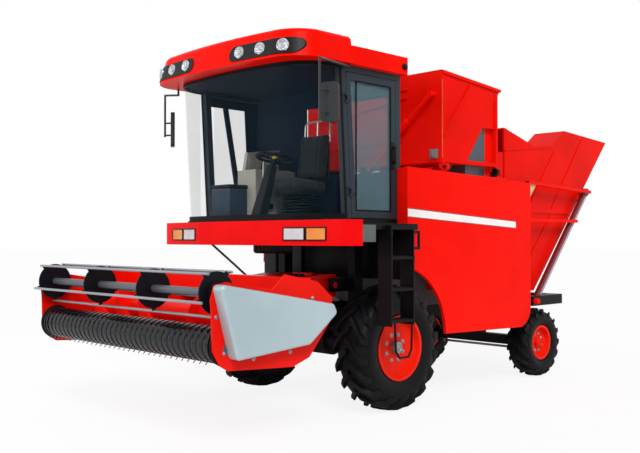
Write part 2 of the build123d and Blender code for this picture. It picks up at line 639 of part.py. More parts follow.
# Seat, steering column and consoles
with BuildPart() as driver_seat:
    block((20, 340), (CAB_MID - 160, CAB_MID + 160), (CAB_FLOOR, CAB_FLOOR + 320))
    block((-30, 480), (CAB_MID - 250, CAB_MID + 250), (CAB_FLOOR + 320, CAB_FLOOR + 430))
    slab([(-30, CAB_FLOOR + 430), (90, CAB_FLOOR + 430), (10, CAB_FLOOR + 1000), (-80, CAB_FLOOR + 1000)],
         CAB_MID - 240, CAB_MID + 240)
save(driver_seat.part, "driver_seat")
with BuildPart() as steering_column:
    slab([(740, CAB_FLOOR), (860, CAB_FLOOR), (700, CAB_FLOOR + 720), (580, CAB_FLOOR + 720)], CAB_MID - 60, CAB_MID + 60)
    rod((640, CAB_MID, CAB_FLOOR + 700), (625, CAB_MID, CAB_FLOOR + 770), 210)
save(steering_column.part, "steering_column")
with BuildPart() as control_console:
    block((-20, 560), (CAB_MID - 640, CAB_MID - 330), (CAB_FLOOR, CAB_FLOOR + 560))
    block((480, 800), (CAB_MID - 800, CAB_MID - 480), (CAB_FLOOR, CAB_FLOOR + 380))
save(control_console.part, "control_console")

# Ladder at the door: two cheeks under the walkway, three treads, a foot loop and a hand loop
LADDER_X = (125.0, 465.0)
LADDER_Y = (1290.0, 1460.0)
PLATFORM_SIDE = 1400.0
with BuildPart() as ladder:
    for x in (LADDER_X[0], LADDER_X[1] - 15):
        block((x, x + 15), LADDER_Y, (900, PLATFORM_LOW + 120))
    block(LADDER_X, (PLATFORM_SIDE, LADDER_Y[1]), (PLATFORM_LOW + 120, PLATFORM_HIGH - 20))
    for z in (930, 1232, 1535):
        block(LADDER_X, LADDER_Y, (z, z + 25))
    y = LADDER_Y[1] - 20
    tube([(395, y, 935), (380, y, 660), (330, y, 592), (195, y, 592), (150, y, 660), (140, y, 935)], 11)
    tube([(130, y, 1640), (36, y, 1640), (36, y, 1800), (130, y, 1800)], 14)
save(ladder.part, "ladder")


# Mirrors on bent arms from under the roof
def mirror_head(centre, yaw, width, height):
    """A flat rounded case, turned by yaw from facing straight back."""
    normal = Vector(-math.cos(yaw), -math.sin(yaw), 0)
    with BuildSketch(Plane(origin=centre, x_dir=(math.sin(yaw), -math.cos(yaw), 0), z_dir=normal)) as face:
        RectangleRounded(width, height, 35)
    extrude(face.sketch, amount=45)


with BuildPart() as mirrors:
    tube([(625, 1062, CAB_EAVES), (625, 1062, 3395), (1305, 1350, 3340), (1305, 1350, 2790)], 12)
    mirror_head((1185, 1352, 2960), math.radians(29), 165, 360)
    for z in (2860, 3060):
        rod((1305, 1350, z), (1165, 1342, z), 10)
    tube([(1000, -1250, CAB_EAVES), (1000, -1250, 3352), (1000, -1515, 3380), (1000, -1515, 2900)], 12)
    mirror_head((970, -1445, 2982), math.radians(-33), 150, 395)
    for z in (2920, 3060):
        rod((1000, -1515, z), (955, -1455, z), 10)
save(mirrors.part, "mirrors")


# Header: side plates, trough sheet, comb plate and cross tubes
LIP_X = 2195.0
side_outline = [
    (2545, 1160), (2535, 850), (2463, 736), (2382, 688), (1685, 650), (1495, 714), (1222, 1030), (1222, 1219),
    (1397, 1360), (1779, 1433), (1915, 1311), (2400, 1390), (2520, 1370), (2555, 1250),
]


with BuildPart() as header_frame:
    for side in (1, -1):
        y_in = side * HEADER_IN_Y
        y_out = side * (HEADER_IN_Y + PLATE_T)
        slab(side_outline, min(y_in, y_out), max(y_in, y_out))
    first = math.radians(-20)
    r_in = AUGER_R + 25
    r_out = r_in + 10
    with BuildSketch(Plane.XZ.offset(-HEADER_IN_Y)) as sheet:
        with BuildLine():
            start_in = (AUGER_X + r_in * math.cos(first), AUGER_Z + r_in * math.sin(first))
            start_out = (AUGER_X + r_out * math.cos(first), AUGER_Z + r_out * math.sin(first))
            Line((LIP_X, 930), start_in)
            ThreePointArc(start_in, (AUGER_X, AUGER_Z - r_in), (AUGER_X - r_in, AUGER_Z))
            Polyline((AUGER_X - r_in, AUGER_Z), (AUGER_X - r_in, 1395), (AUGER_X - r_out, 1395), (AUGER_X - r_out, AUGER_Z))
            ThreePointArc((AUGER_X - r_out, AUGER_Z), (AUGER_X, AUGER_Z - r_out), start_out)
            Polyline(start_out, (LIP_X - 10, 915), (LIP_X - 10, 740), (LIP_X, 740), (LIP_X, 930))
        make_face()
    extrude(amount=2 * HEADER_IN_Y)
    block((1470, AUGER_X - r_out), (-HEADER_IN_Y, HEADER_IN_Y), (1300, 1395))
    block((1640, 1760), (-HEADER_IN_Y, HEADER_IN_Y), (690, 770))
    block((1450, AUGER_X), (-FEEDER_HALF_W + 30, FEEDER_HALF_W - 30), (800, 1210), mode=Mode.SUBTRACT)
    for x, z, radius in ((REEL_X, REEL_Z, REEL_SHAFT_D / 2), (AUGER_X, AUGER_Z, 35), (DRUM_X, DRUM_Z - TINE_DROP, 45)):
        rod((x, -SHAFT_END - 5, z), (x, SHAFT_END + 5, z), radius + PIN_PLAY, mode=Mode.SUBTRACT)
save(header_frame.part, "header_frame")

# Feeder house between the header and the threshing housing, on trunnions at its rear
feeder_outline = [
    (AUGER_X - r_out, 780), (AUGER_X - r_out, 1230), (420, 1360), (170, 1360), (170, 1130), (420, 1080),
]
feeder_hollow = [
    (AUGER_X - r_out, 810), (AUGER_X - r_out, 1200), (420, 1330), (170, 1330), (170, 1160), (420, 1110),
]
with BuildPart() as feeder_house:
    slab(feeder_outline, -FEEDER_HALF_W, FEEDER_HALF_W)
    for side in (1, -1):
        rod((HEADER_PIVOT_X, side * (FEEDER_HALF_W - 30), HEADER_PIVOT_Z), (HEADER_PIVOT_X, side * 505, HEADER_PIVOT_Z), 30)
        for y in (side * LIFT_Y - EAR_IN - EAR_T, side * LIFT_Y + EAR_IN):
            slab([(1060, 960), (1110, LIFT_EYE[1] - 30), (1190, LIFT_EYE[1] - 30), (1240, 960)], y, y + EAR_T)
    slab(feeder_hollow, -FEEDER_HALF_W + 30, FEEDER_HALF_W - 30, mode=Mode.SUBTRACT)
save(feeder_house.part, "feeder_house")

# Chain covers on the header's ends: a deep rounded pressing on the left, a smaller one on the right
COVER_CORNER_R = 40.0
COVER_EDGE_R = 25.0
cover_outlines = {
    "left": [(2545, 1385), (1300, 1168), (1258, 1085), (1584, 838), (2370, 775)],
    "right": [(2380, 1120), (1300, 1120), (1262, 1060), (1610, 845), (2330, 785)],
}
for name, side in (("left", 1), ("right", -1)):
    y_in = side * (HEADER_IN_Y + PLATE_T)
    y_out = side * COVER_OUT_Y
    with BuildPart() as header_cover:
        slab(cover_outlines[name], min(y_in, y_out), max(y_in, y_out))
        fillet(header_cover.edges().filter_by(Axis.Y), COVER_CORNER_R)
        outer = header_cover.faces().sort_by(Axis.Y)[-1 if side > 0 else 0]
        fillet(outer.edges(), COVER_EDGE_R)
    save(header_cover.part, f"header_cover_{name}")

# Pick-up: fixed bands that the tines pass between, and the tine rotor set low in them
band_pitch = (2 * HEADER_IN_Y - 60) / BAND_N
band_y = [-HEADER_IN_Y + 30 + band_pitch * (i + 0.5) for i in range(BAND_N)]
tine_y = [-HEADER_IN_Y + 30 + band_pitch * (i + 1) for i in range(BAND_N - 1)]
with BuildPart() as pickup_bands:
    with BuildSketch(*[Plane.XZ.offset(-(y + BAND_W / 2)) for y in band_y]):
        with BuildLine():
            Line((LIP_X, 930), (DRUM_X, DRUM_Z + DRUM_R))
            ThreePointArc((DRUM_X, DRUM_Z + DRUM_R), (DRUM_X + DRUM_R, DRUM_Z), (DRUM_X, DRUM_Z - DRUM_R))
            Polyline((DRUM_X, DRUM_Z - DRUM_R), (LIP_X, 742), (LIP_X, 748), (DRUM_X, DRUM_Z - DRUM_R + 6))
            ThreePointArc((DRUM_X, DRUM_Z - DRUM_R + 6), (DRUM_X + DRUM_R - 6, DRUM_Z), (DRUM_X, DRUM_Z + DRUM_R - 6))
            Polyline((DRUM_X, DRUM_Z + DRUM_R - 6), (LIP_X, 922), (LIP_X, 930))
        make_face()
    extrude(amount=BAND_W)
    band_end = band_y[-1] + BAND_W / 2
    for side in (1, -1):
        rod((DRUM_X, side * (band_end - 12), DRUM_Z), (DRUM_X, side * (band_end + 2), DRUM_Z), DRUM_R + 8)
    rod((DRUM_X, -HEADER_IN_Y, DRUM_Z - TINE_DROP), (DRUM_X, HEADER_IN_Y, DRUM_Z - TINE_DROP), TINE_CORE_R + 8,
        mode=Mode.SUBTRACT)
save(pickup_bands.part, "pickup_bands")
TINE_BARS = 4
tine_mid = TINE_TIP_R / 2 + 20
tine_places = []
for bar in range(TINE_BARS):
    turn = bar * 360 / TINE_BARS + 45
    x = DRUM_X + tine_mid * math.cos(math.radians(turn))
    z = DRUM_Z - TINE_DROP + tine_mid * math.sin(math.radians(turn))
    tine_places += [Location((x, y, z), (0, -turn, 0)) for y in tine_y]
with BuildPart() as pickup_rotor:
    z = DRUM_Z - TINE_DROP
    rod((DRUM_X, -SHAFT_END, z), (DRUM_X, SHAFT_END, z), 45)
    rod((DRUM_X, -HEADER_IN_Y + 20, z), (DRUM_X, HEADER_IN_Y - 20, z), TINE_CORE_R)
    with Locations(*tine_places):
        Box(TINE_TIP_R - 40, 6, 6)
save(pickup_rotor.part, "pickup_rotor")

# Cross auger: two screws of opposite hand that carry the crop to the middle
FLIGHT_LONG = 1040.0
FLIGHT_START = HEADER_IN_Y - 60
flight_mid_r = (AUGER_TUBE_R - 10 + AUGER_R) / 2
with BuildPart() as flight:
    with BuildLine() as flight_line:
        Helix(pitch=FLIGHT_PITCH, height=FLIGHT_LONG, radius=flight_mid_r, center=(0, 0, 0), direction=(0, 1, 0))
    foot = flight_line.line @ 0
    with BuildSketch(Plane(origin=foot, x_dir=(foot.X, 0, foot.Z), z_dir=flight_line.line % 0)):
        Rectangle(AUGER_R - AUGER_TUBE_R + 10, FLIGHT_T)
    sweep(is_frenet=True)
with BuildPart() as header_auger:
    rod((AUGER_X, -HEADER_IN_Y + 20, AUGER_Z), (AUGER_X, HEADER_IN_Y - 20, AUGER_Z), AUGER_TUBE_R)
    rod((AUGER_X, -SHAFT_END, AUGER_Z), (AUGER_X, SHAFT_END, AUGER_Z), 35)
    right_flight = flight.part.moved(Location((AUGER_X, -FLIGHT_START, AUGER_Z)))
    add(right_flight)
    add(mirror(right_flight, about=Plane.XZ))
save(header_auger.part, "header_auger")

# Reel: a shaft with four discs, and five bars carried outside the discs' rims
with BuildPart() as reel_discs:
    rod((REEL_X, -SHAFT_END, REEL_Z), (REEL_X, SHAFT_END, REEL_Z), REEL_SHAFT_D / 2)
    for i in range(4):
        y = -REEL_DISC_Y + i * 2 * REEL_DISC_Y / 3
        rod((REEL_X, y - REEL_DISC_T / 2, REEL_Z), (REEL_X, y + REEL_DISC_T / 2, REEL_Z), REEL_DISC_R)
        for bar in range(REEL_BARS):
            turn = -(REEL_BAR_PHASE + bar * 360 / REEL_BARS)
            with Locations(Location((REEL_X, y, REEL_Z), (0, turn, 0))):
                with Locations((REEL_DISC_R - 20, 0, 0)):
                    Box(REEL_BAR_D + 60, REEL_DISC_T, REEL_BAR_D * 1.5)
    for bar in range(REEL_BARS):
        turn = math.radians(REEL_BAR_PHASE + bar * 360 / REEL_BARS)
        x = REEL_X + REEL_BAR_R * math.cos(turn)
        z = REEL_Z + REEL_BAR_R * math.sin(turn)
        rod((x, -HEADER_IN_Y, z), (x, HEADER_IN_Y, z), REEL_BAR_D / 2 + 0.02, mode=Mode.SUBTRACT)
save(reel_discs.part, "reel_discs")
with BuildPart() as reel_bars:
    for bar in range(REEL_BARS):
        turn = math.radians(REEL_BAR_PHASE + bar * 360 / REEL_BARS)
        x = REEL_X + REEL_BAR_R * math.cos(turn)
        z = REEL_Z + REEL_BAR_R * math.sin(turn)
        rod((x, -HEADER_IN_Y + 10, z), (x, HEADER_IN_Y - 10, z), REEL_BAR_D / 2)
save(reel_bars.part, "reel_bars")


# Hydraulic cylinders, in pairs: barrel with a bore, rod with an eye
def barrel_at(base, eye, length, radius, rod_r):
    """A barrel from its base eye towards the rod's eye; the two ends lie in one plane across X or Y."""
    line = Vector(*eye) - Vector(*base)
    step = line.normalized()
    pin = Vector(0, 1, 0) if abs(line.Y) < 1 else Vector(1, 0, 0)
    start = Vector(*base)
    half = EAR_IN - 2
    rod(tuple(start - pin * half), tuple(start + pin * half), radius * 0.88)
    rod(tuple(start), tuple(start + step * length), radius)
    rod(tuple(start + step * (radius + 15)), tuple(start + step * (length + 5)), rod_r + 1, mode=Mode.SUBTRACT)
    rod(tuple(start - pin * EAR_IN), tuple(start + pin * EAR_IN), FOOT_PIN_R + PIN_PLAY, mode=Mode.SUBTRACT)


def rod_at(base, eye, inner, rod_r, eye_r, eye_w):
    """A piston rod from inside the barrel to its eye."""
    line = Vector(*eye) - Vector(*base)
    step = line.normalized()
    pin = Vector(0, 1, 0) if abs(line.Y) < 1 else Vector(1, 0, 0)
    end = Vector(*eye)
    rod(tuple(Vector(*base) + step * inner), tuple(end), rod_r)
    rod(tuple(end - pin * (eye_w / 2)), tuple(end + pin * (eye_w / 2)), eye_r)


with BuildPart() as lift_barrels:
    for side in (1, -1):
        barrel_at((LIFT_BASE[0], side * LIFT_Y, LIFT_BASE[1]), (LIFT_EYE[0], side * LIFT_Y, LIFT_EYE[1]), 500, 42, 22)
save(lift_barrels.part, "lift_barrels")
with BuildPart() as lift_rods:
    for side in (1, -1):
        rod_at((LIFT_BASE[0], side * LIFT_Y, LIFT_BASE[1]), (LIFT_EYE[0], side * LIFT_Y, LIFT_EYE[1]), 320, 22, 34, 54)
save(lift_rods.part, "lift_rods")

# Peanut bin: an open hopper with a sloping rear wall, carried at its left by two posts on a rail; it tips to the left
bin_over = BIN_TOP_FRONT + 140
bin_outer = [
    (BIN_RIGHT, BIN_LOW + 180), (BIN_RIGHT + 220, BIN_LOW), (BIN_LEFT - 40, BIN_LOW), (BIN_LEFT, bin_over),
    (BIN_RIGHT, bin_over),
]
bin_inner = [
    (BIN_RIGHT + BIN_WALL, BIN_LOW + 195), (BIN_RIGHT + 235, BIN_LOW + BIN_WALL), (BIN_LEFT - 40 - BIN_WALL, BIN_LOW + BIN_WALL),
    (BIN_LEFT - BIN_WALL, bin_over), (BIN_RIGHT + BIN_WALL, bin_over),
]
bin_slope = (BIN_FLOOR_REAR - BIN_LIP_REAR) / (BIN_TOP_REAR - BIN_LOW)
POST_W = 40.0


def slope_x(z, forwards=0):
    """The sloping rear wall's outer face at a height."""
    return BIN_FLOOR_REAR - (z - BIN_LOW) * bin_slope + forwards


def front_view(points, x_front, x_rear, mode=Mode.ADD):
    """A front-view outline of (y, z) points, extruded backwards."""
    with BuildSketch(Plane(origin=(x_rear, 0, 0), x_dir=(0, 1, 0), z_dir=(1, 0, 0))) as outline:
        with BuildLine():
            Polyline(*points, close=True)
        make_face()
    extrude(outline.sketch, amount=x_front - x_rear, mode=mode)


def behind_slope(forwards):
    """All that lies behind the sloping wall's face, moved forwards."""
    low = BIN_LOW - 100
    high = bin_over + 100
    slab([(slope_x(low, forwards), low), (slope_x(high, forwards), high), (-2300, high), (-2300, low)],
         BIN_RIGHT - 100, BIN_LEFT + 100, mode=Mode.SUBTRACT)


with BuildPart() as bin_hollow:
    front_view(bin_inner, BIN_FRONT - BIN_WALL, -2000)
    behind_slope(BIN_WALL * 1.22)
with BuildPart() as peanut_bin:
    front_view(bin_outer, BIN_FRONT, -2000)
    behind_slope(0)
    block((BIN_FRONT - 60, BIN_FRONT), (BIN_LEFT - 60, BIN_LEFT), (BIN_LOW, BIN_TOP_FRONT - 60))
    block((BIN_REAR, BIN_REAR + POST_W), (BIN_LEFT - 60, BIN_LEFT), (BIN_LOW, BIN_TOP_REAR - 50))
    block((BIN_REAR, BIN_FRONT), (BIN_LEFT - 60, BIN_LEFT), (BIN_LOW, BIN_LOW + 45))
    add(bin_hollow.part, mode=Mode.SUBTRACT)
    slab([(BIN_FRONT + 100, BIN_TOP_FRONT + 8), (BIN_LIP_REAR - 200, BIN_TOP_REAR - 16),
          (BIN_LIP_REAR - 200, bin_over + 100), (BIN_FRONT + 100, bin_over + 100)], BIN_RIGHT - 100, BIN_LEFT + 100, mode=Mode.SUBTRACT)
    rod((BIN_FRONT - 10, *BIN_EYE), (BIN_CYL_X[0] - 29, *BIN_EYE), 24)
    rod((slope_x(BIN_EYE[1]) + 20, *BIN_EYE), (BIN_CYL_X[1] + 29, *BIN_EYE), 24)
    for x in (BIN_FRONT - 10, BIN_REAR + 50):
        rod((x - 40, BIN_HINGE_Y, BIN_HINGE_Z), (x, BIN_HINGE_Y, BIN_HINGE_Z), 45)
        block((x - 40, x), (BIN_HINGE_Y - 70, BIN_HINGE_Y - 20), (BIN_HINGE_Z - 10, BIN_LOW + 20))
        rod((x - 60, BIN_HINGE_Y, BIN_HINGE_Z), (x + 20, BIN_HINGE_Y, BIN_HINGE_Z), BIN_HINGE_R + PIN_PLAY, mode=Mode.SUBTRACT)
save(peanut_bin.part, "peanut_bin")

# Elevator under the slope: a grey casing, and behind it the red hood that turns the peanuts into the bin
DUCT_Y = (780.0, BIN_LEFT - 75)
DUCT_FOOT = 2400.0 + DECK_T
CASING_X = (-1672.0, -1300.0)
with BuildPart() as lift_casing:
    slab([(CASING_X[1], DUCT_FOOT), (CASING_X[1], 2588), (slope_x(3011, -30), 3011), (CASING_X[0], 3011),
          (CASING_X[0], DUCT_FOOT)], *DUCT_Y)
save(lift_casing.part, "lift_casing")
with BuildPart() as lift_hood:
    block((BIN_REAR + 15, CASING_X[0]), DUCT_Y, (DUCT_FOOT, 3060))
    fillet(lift_hood.edges().filter_by(Axis.Y).group_by(Axis.X)[-1].sort_by(Axis.Z)[-1], 85)
save(lift_hood.part, "lift_hood")

# Cradle on the deck: bearers under the bin, hinge posts with pins, and feet for the tipping cylinders
DECK_TOP = 2400.0 + DECK_T
with BuildPart() as bin_cradle:
    for y in (-720, 320):
        block((BIN_FLOOR_REAR + 10, BIN_FRONT - 40), (y - 50, y + 50), (DECK_TOP, BIN_LOW - 6))
    for x in (-900, -1190):
        block((x - 40, x + 40), (-720, 320), (DECK_TOP, DECK_TOP + 60))
    for x, way in ((BIN_FRONT - 10 - 40, -1), (BIN_REAR + 50, 1)):
        near = x + way * RUN_GAP
        far = x + way * (RUN_GAP + 40)
        block((near, far), (1060, 1128), (DECK_TOP, BIN_HINGE_Z))
        rod((near, BIN_HINGE_Y, BIN_HINGE_Z), (far, BIN_HINGE_Y, BIN_HINGE_Z), 40)
        rod((far, BIN_HINGE_Y, BIN_HINGE_Z), (near - way * 46, BIN_HINGE_Y, BIN_HINGE_Z), BIN_HINGE_R)
    for x in BIN_CYL_X:
        for x_ear in (x - EAR_IN - EAR_T, x + EAR_IN):
            block((x_ear, x_ear + EAR_T), (BIN_BASE[0] - 50, BIN_BASE[0] + 50), (DECK_TOP, BIN_BASE[1] + 24))
        rod((x - EAR_IN - EAR_T, BIN_BASE[0], BIN_BASE[1]), (x + EAR_IN + EAR_T, BIN_BASE[0], BIN_BASE[1]), FOOT_PIN_R)
save(bin_cradle.part, "bin_cradle")
with BuildPart() as bin_barrels:
    for x in BIN_CYL_X:
        barrel_at((x, BIN_BASE[0], BIN_BASE[1]), (x, BIN_EYE[0], BIN_EYE[1]), 800, 36, 20)
save(bin_barrels.part, "bin_barrels")
with BuildPart() as bin_rods:
    for x in BIN_CYL_X:
        rod_at((x, BIN_BASE[0], BIN_BASE[1]), (x, BIN_EYE[0], BIN_EYE[1]), 220, 20, 32, 54)
save(bin_rods.part, "bin_rods")

# Rear beam, and the frame that carries the vine box
with BuildPart() as rear_beam:
    block((RAIL_REAR - 110, RAIL_REAR), (-LEG_Y - 35, LEG_Y + 35), (BEAM_LOW, BEAM_HIGH))
    for side in (1, -1):
        block((RAIL_REAR, -WHEELBASE + 377), (side * (LEG_Y - 65), side * (LEG_Y + 35)), (BEAM_LOW, BEAM_HIGH))
        for y_ear in (side * BOX_CYL_Y - EAR_IN - EAR_T, side * BOX_CYL_Y + EAR_IN):
            slab([(RAIL_REAR - 90, BEAM_LOW + 10), (RAIL_REAR - 90, BEAM_HIGH - 5), (BOX_BASE[0] - 40, BOX_BASE[1] + 40),
                  (BOX_BASE[0] - 40, BOX_BASE[1] - 40)], y_ear, y_ear + EAR_T)
        y = side * BOX_CYL_Y
        rod((BOX_BASE[0], y - EAR_IN - EAR_T, BOX_BASE[1]), (BOX_BASE[0], y + EAR_IN + EAR_T, BOX_BASE[1]), FOOT_PIN_R)
    block((RAIL_REAR - 210, RAIL_REAR - 110), (-60, 60), (950, 974))
    rod((RAIL_REAR - 165, 0, 940), (RAIL_REAR - 165, 0, 984), 16, mode=Mode.SUBTRACT)
save(rear_beam.part, "rear_beam")
LEG_FOOT = (-WHEELBASE + 232, BEAM_HIGH)
LEG_W = 100.0
LEG_TOP = BOX_PIVOT_Z + 35
STAY_T = 34.0
leg_lean = (BOX_PIVOT_X - LEG_FOOT[0]) / (BOX_PIVOT_Z - LEG_FOOT[1])


def leg_x(z):
    """The middle of a leg at a height."""
    return LEG_FOOT[0] + (z - LEG_FOOT[1]) * leg_lean


# front end, rear end of each stay, as heights
STAYS = ((2430.0, LEG_TOP - 20), (1975.0, 1975.0))
with BuildPart() as rear_frame:
    for side in (1, -1):
        y = side * LEG_Y
        slab([(leg_x(BEAM_HIGH) - LEG_W / 2, BEAM_HIGH), (leg_x(BEAM_HIGH) + LEG_W / 2, BEAM_HIGH),
              (leg_x(LEG_TOP) + LEG_W / 2, LEG_TOP), (leg_x(LEG_TOP) - LEG_W / 2, LEG_TOP)], y - 25, y + 25)
        rod((BOX_PIVOT_X, y - 30, BOX_PIVOT_Z), (BOX_PIVOT_X, y + 30, BOX_PIVOT_Z), 50)
        rod((BOX_PIVOT_X, y - 40, BOX_PIVOT_Z), (BOX_PIVOT_X, y + 40, BOX_PIVOT_Z), BOX_PIVOT_R + PIN_PLAY, mode=Mode.SUBTRACT)
        for front, rear in STAYS:
            y_in = side * (LEG_Y + 25)
            y_out = side * (LEG_Y + 70)
            slab([(PANEL_REAR, front - STAY_T), (PANEL_REAR, front), (leg_x(rear) - 20, rear), (leg_x(rear) - 20, rear - STAY_T)],
                 min(y_in, y_out), max(y_in, y_out))
save(rear_frame.part, "rear_frame")

# Vine box: leaning rear wall and floor between side walls, open above and towards the threshing housing
BOX_SPLAY = (-2752.0, -2450.0)
box_outline = [
    (-2120, 2810), (-3200, 2930), (-3500, 3140), (REAR_TIP, 3070), (BOX_SPLAY[0], BOX_LOW), (BOX_SPLAY[1], BOX_LOW),
    (-2120, 1700),
]
box_floor = [
    (REAR_TIP, 3070), (BOX_SPLAY[0], BOX_LOW), (BOX_SPLAY[1], BOX_LOW), (-2120, 1700), (-2120, 1745),
    (BOX_SPLAY[1] - 12, BOX_LOW + 25), (BOX_SPLAY[0] + 12, BOX_LOW + 25), (REAR_TIP + 34, 3070),
]
with BuildPart() as vine_box:
    for side in (1, -1):
        y_in = side * (BOX_HALF_W - BOX_WALL)
        y_out = side * BOX_HALF_W
        slab(box_outline, min(y_in, y_out), max(y_in, y_out))
        # cheek under the sloping front cover, corner plate of the hood, and a rib along the wall
        y_cheek = side * (BOX_HALF_W - 2 * BOX_WALL)
        slab([(-2150, 3060), (-2150, 2770), (-2860, 2845), (-2860, 2880)], min(y_in, y_cheek), max(y_in, y_cheek))
        slab([(-3200, 2930), (-3500, 3140), (-3512, 3123), (-3212, 2913)], min(side * 560, y_in), max(side * 560, y_in))
        y_rib = side * (BOX_HALF_W + 14)
        slab([(-3600, 2050), (-3600, 2090), (-2460, 2090), (-2460, 2050)], min(y_out, y_rib), max(y_out, y_rib))
        rod((BOX_PIVOT_X, side * (BOX_HALF_W - BOX_WALL), BOX_PIVOT_Z), (BOX_PIVOT_X, side * (LEG_Y - 35), BOX_PIVOT_Z), 50)
        rod((BOX_PIVOT_X, side * (BOX_HALF_W - BOX_WALL), BOX_PIVOT_Z), (BOX_PIVOT_X, side * (LEG_Y + 22), BOX_PIVOT_Z),
            BOX_PIVOT_R)
        for y in (side * BOX_CYL_Y - EAR_IN - EAR_T, side * BOX_CYL_Y + EAR_IN):
            slab([(-3759, 2172), (-3802, 2050), (-3761, 2006), (-3636, 2041)], y, y + EAR_T)
    slab(box_floor, -BOX_HALF_W, BOX_HALF_W)
    slab([(-2150, 3065), (-2860, 2880), (-2860, 2860), (-2150, 3045)], -BOX_HALF_W + BOX_WALL, BOX_HALF_W - BOX_WALL)
save(vine_box.part, "vine_box")
with BuildPart() as box_barrels:
    for y in (BOX_CYL_Y, -BOX_CYL_Y):
        barrel_at((BOX_BASE[0], y, BOX_BASE[1]), (BOX_EYE[0], y, BOX_EYE[1]), 900, 42, 24)
save(box_barrels.part, "box_barrels")
with BuildPart() as box_rods:
    for y in (BOX_CYL_Y, -BOX_CYL_Y):
        rod_at((BOX_BASE[0], y, BOX_BASE[1]), (BOX_EYE[0], y, BOX_EYE[1]), 300, 24, 34, 54)
save(box_rods.part, "box_rods")
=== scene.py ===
import math

import bmesh
import bpy
from mathutils import Matrix, Vector


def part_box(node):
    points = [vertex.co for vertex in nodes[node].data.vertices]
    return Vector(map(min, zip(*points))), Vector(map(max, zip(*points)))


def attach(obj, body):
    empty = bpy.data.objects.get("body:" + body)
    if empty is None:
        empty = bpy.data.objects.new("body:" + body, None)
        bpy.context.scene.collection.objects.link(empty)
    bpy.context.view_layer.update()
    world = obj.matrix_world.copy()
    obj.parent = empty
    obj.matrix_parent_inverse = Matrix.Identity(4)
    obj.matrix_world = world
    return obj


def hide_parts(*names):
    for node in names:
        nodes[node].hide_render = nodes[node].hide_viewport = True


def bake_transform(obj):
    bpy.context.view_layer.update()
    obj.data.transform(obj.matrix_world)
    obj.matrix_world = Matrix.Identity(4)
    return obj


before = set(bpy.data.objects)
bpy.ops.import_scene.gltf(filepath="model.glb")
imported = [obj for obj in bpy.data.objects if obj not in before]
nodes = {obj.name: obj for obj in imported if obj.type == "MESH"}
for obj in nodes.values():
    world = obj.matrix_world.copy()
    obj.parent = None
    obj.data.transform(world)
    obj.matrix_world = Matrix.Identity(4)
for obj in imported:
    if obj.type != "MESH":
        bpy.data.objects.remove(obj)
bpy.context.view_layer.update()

# Studio: a wide pale floor, a white surround, one soft sun and one large soft lamp.
# The camera stands where the photograph was taken, at the machine's left front, about head high.
rim_low, rim_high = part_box("front_rim_left")
AXLE_X = (rim_low.x + rim_high.x) / 2    # the front axle; every place below is measured from it
CAMERA_AT = Vector((6.562 + AXLE_X, 6.754, 1.735))
CAMERA_YAW = math.radians(-134.24)
CAMERA_PITCH = math.radians(0.8)
CAMERA_LENS = 47.98


def placed(name, data):
    """A new object in the scene."""
    made = bpy.data.objects.new(name, data)
    bpy.context.collection.objects.link(made)
    return made


def aim(made, way):
    """Points a camera or a lamp along a direction."""
    made.rotation_mode = "QUATERNION"
    made.rotation_quaternion = Vector(way).to_track_quat("-Z", "Y")


camera_data = bpy.data.cameras.new("camera")
camera_data.lens = CAMERA_LENS
camera_data.sensor_width = 36.0
camera_data.clip_end = 300.0
camera = placed("camera", camera_data)
camera.location = CAMERA_AT
aim(camera, (math.cos(CAMERA_YAW) * math.cos(CAMERA_PITCH), math.sin(CAMERA_YAW) * math.cos(CAMERA_PITCH),
             math.sin(CAMERA_PITCH)))
bpy.context.scene.camera = camera
bpy.context.scene.view_settings.view_transform = "Standard"


class Wire:
    """One socket of a node tree. Sums with it add Math nodes; add() makes any other node."""

    def __init__(self, tree, socket=None):
        self.tree = tree
        self.socket = socket

    def add(self, kind, settings=None, out=0, **inputs):
        """A node, its settings first, then its sockets by name (_ for a space, n0 for number 0)."""
        node = self.tree.nodes.new(kind if "Node" in kind else "ShaderNode" + kind)
        for key, value in (settings or {}).items():
            setattr(node, key, value)
        for key, value in inputs.items():
            socket = node.inputs[int(key[1:])] if key[1:].isdigit() else node.inputs[key.replace("_", " ")]
            if isinstance(value, Wire):
                self.tree.links.new(value.socket, socket)
            else:
                socket.default_value = value
        return Wire(self.tree, node.outputs[out])

    def sum(self, operation, first, second):
        return self.add("Math", {"operation": operation}, n0=first, n1=second)

    def __add__(self, other):
        return self.sum("ADD", self, other)

    __radd__ = __add__

    def __sub__(self, other):
        return self.sum("SUBTRACT", self, other)

    def __rsub__(self, other):
        return self.sum("SUBTRACT", other, self)

    def __mul__(self, other):
        return self.sum("MULTIPLY", self, other)

    __rmul__ = __mul__

    def __truediv__(self, other):
        return self.sum("DIVIDE", self, other)

    def above(self, low, high):
        """0 below low, 1 above high, smooth between."""
        smooth = {"interpolation_type": "SMOOTHSTEP"}
        return self.add("MapRange", smooth, Value=self, From_Min=low, From_Max=high)

    def to(self, low, high):
        """0 to 1 spread over low to high."""
        return self.add("MapRange", {}, Value=self, To_Min=low, To_Max=high)

    def blend(self, first, second):
        """The first colour where this is 0, the second where it is 1."""
        return self.add("Mix", {"data_type": "RGBA"}, 2, n0=self, n6=first, n7=second)

    def noise(self, scale, detail=2.0):
        """Soft clouds about this place."""
        return self.add("TexNoise", {}, "Fac", Vector=self, Scale=scale, Detail=detail)

    def bump(self, strength, distance, **normal):
        """A surface normal that takes this as its relief."""
        return self.add("Bump", {}, "Normal", Strength=strength, Distance=distance, Height=self, **normal)


def rgb(red, green, blue):
    """A colour given as it looks on a screen, 0 to 255, made linear."""
    linear = [((c / 255 + 0.055) / 1.055) ** 2.4 if c > 10 else c / 255 / 12.92 for c in (red, green, blue)]
    return (*linear, 1.0)


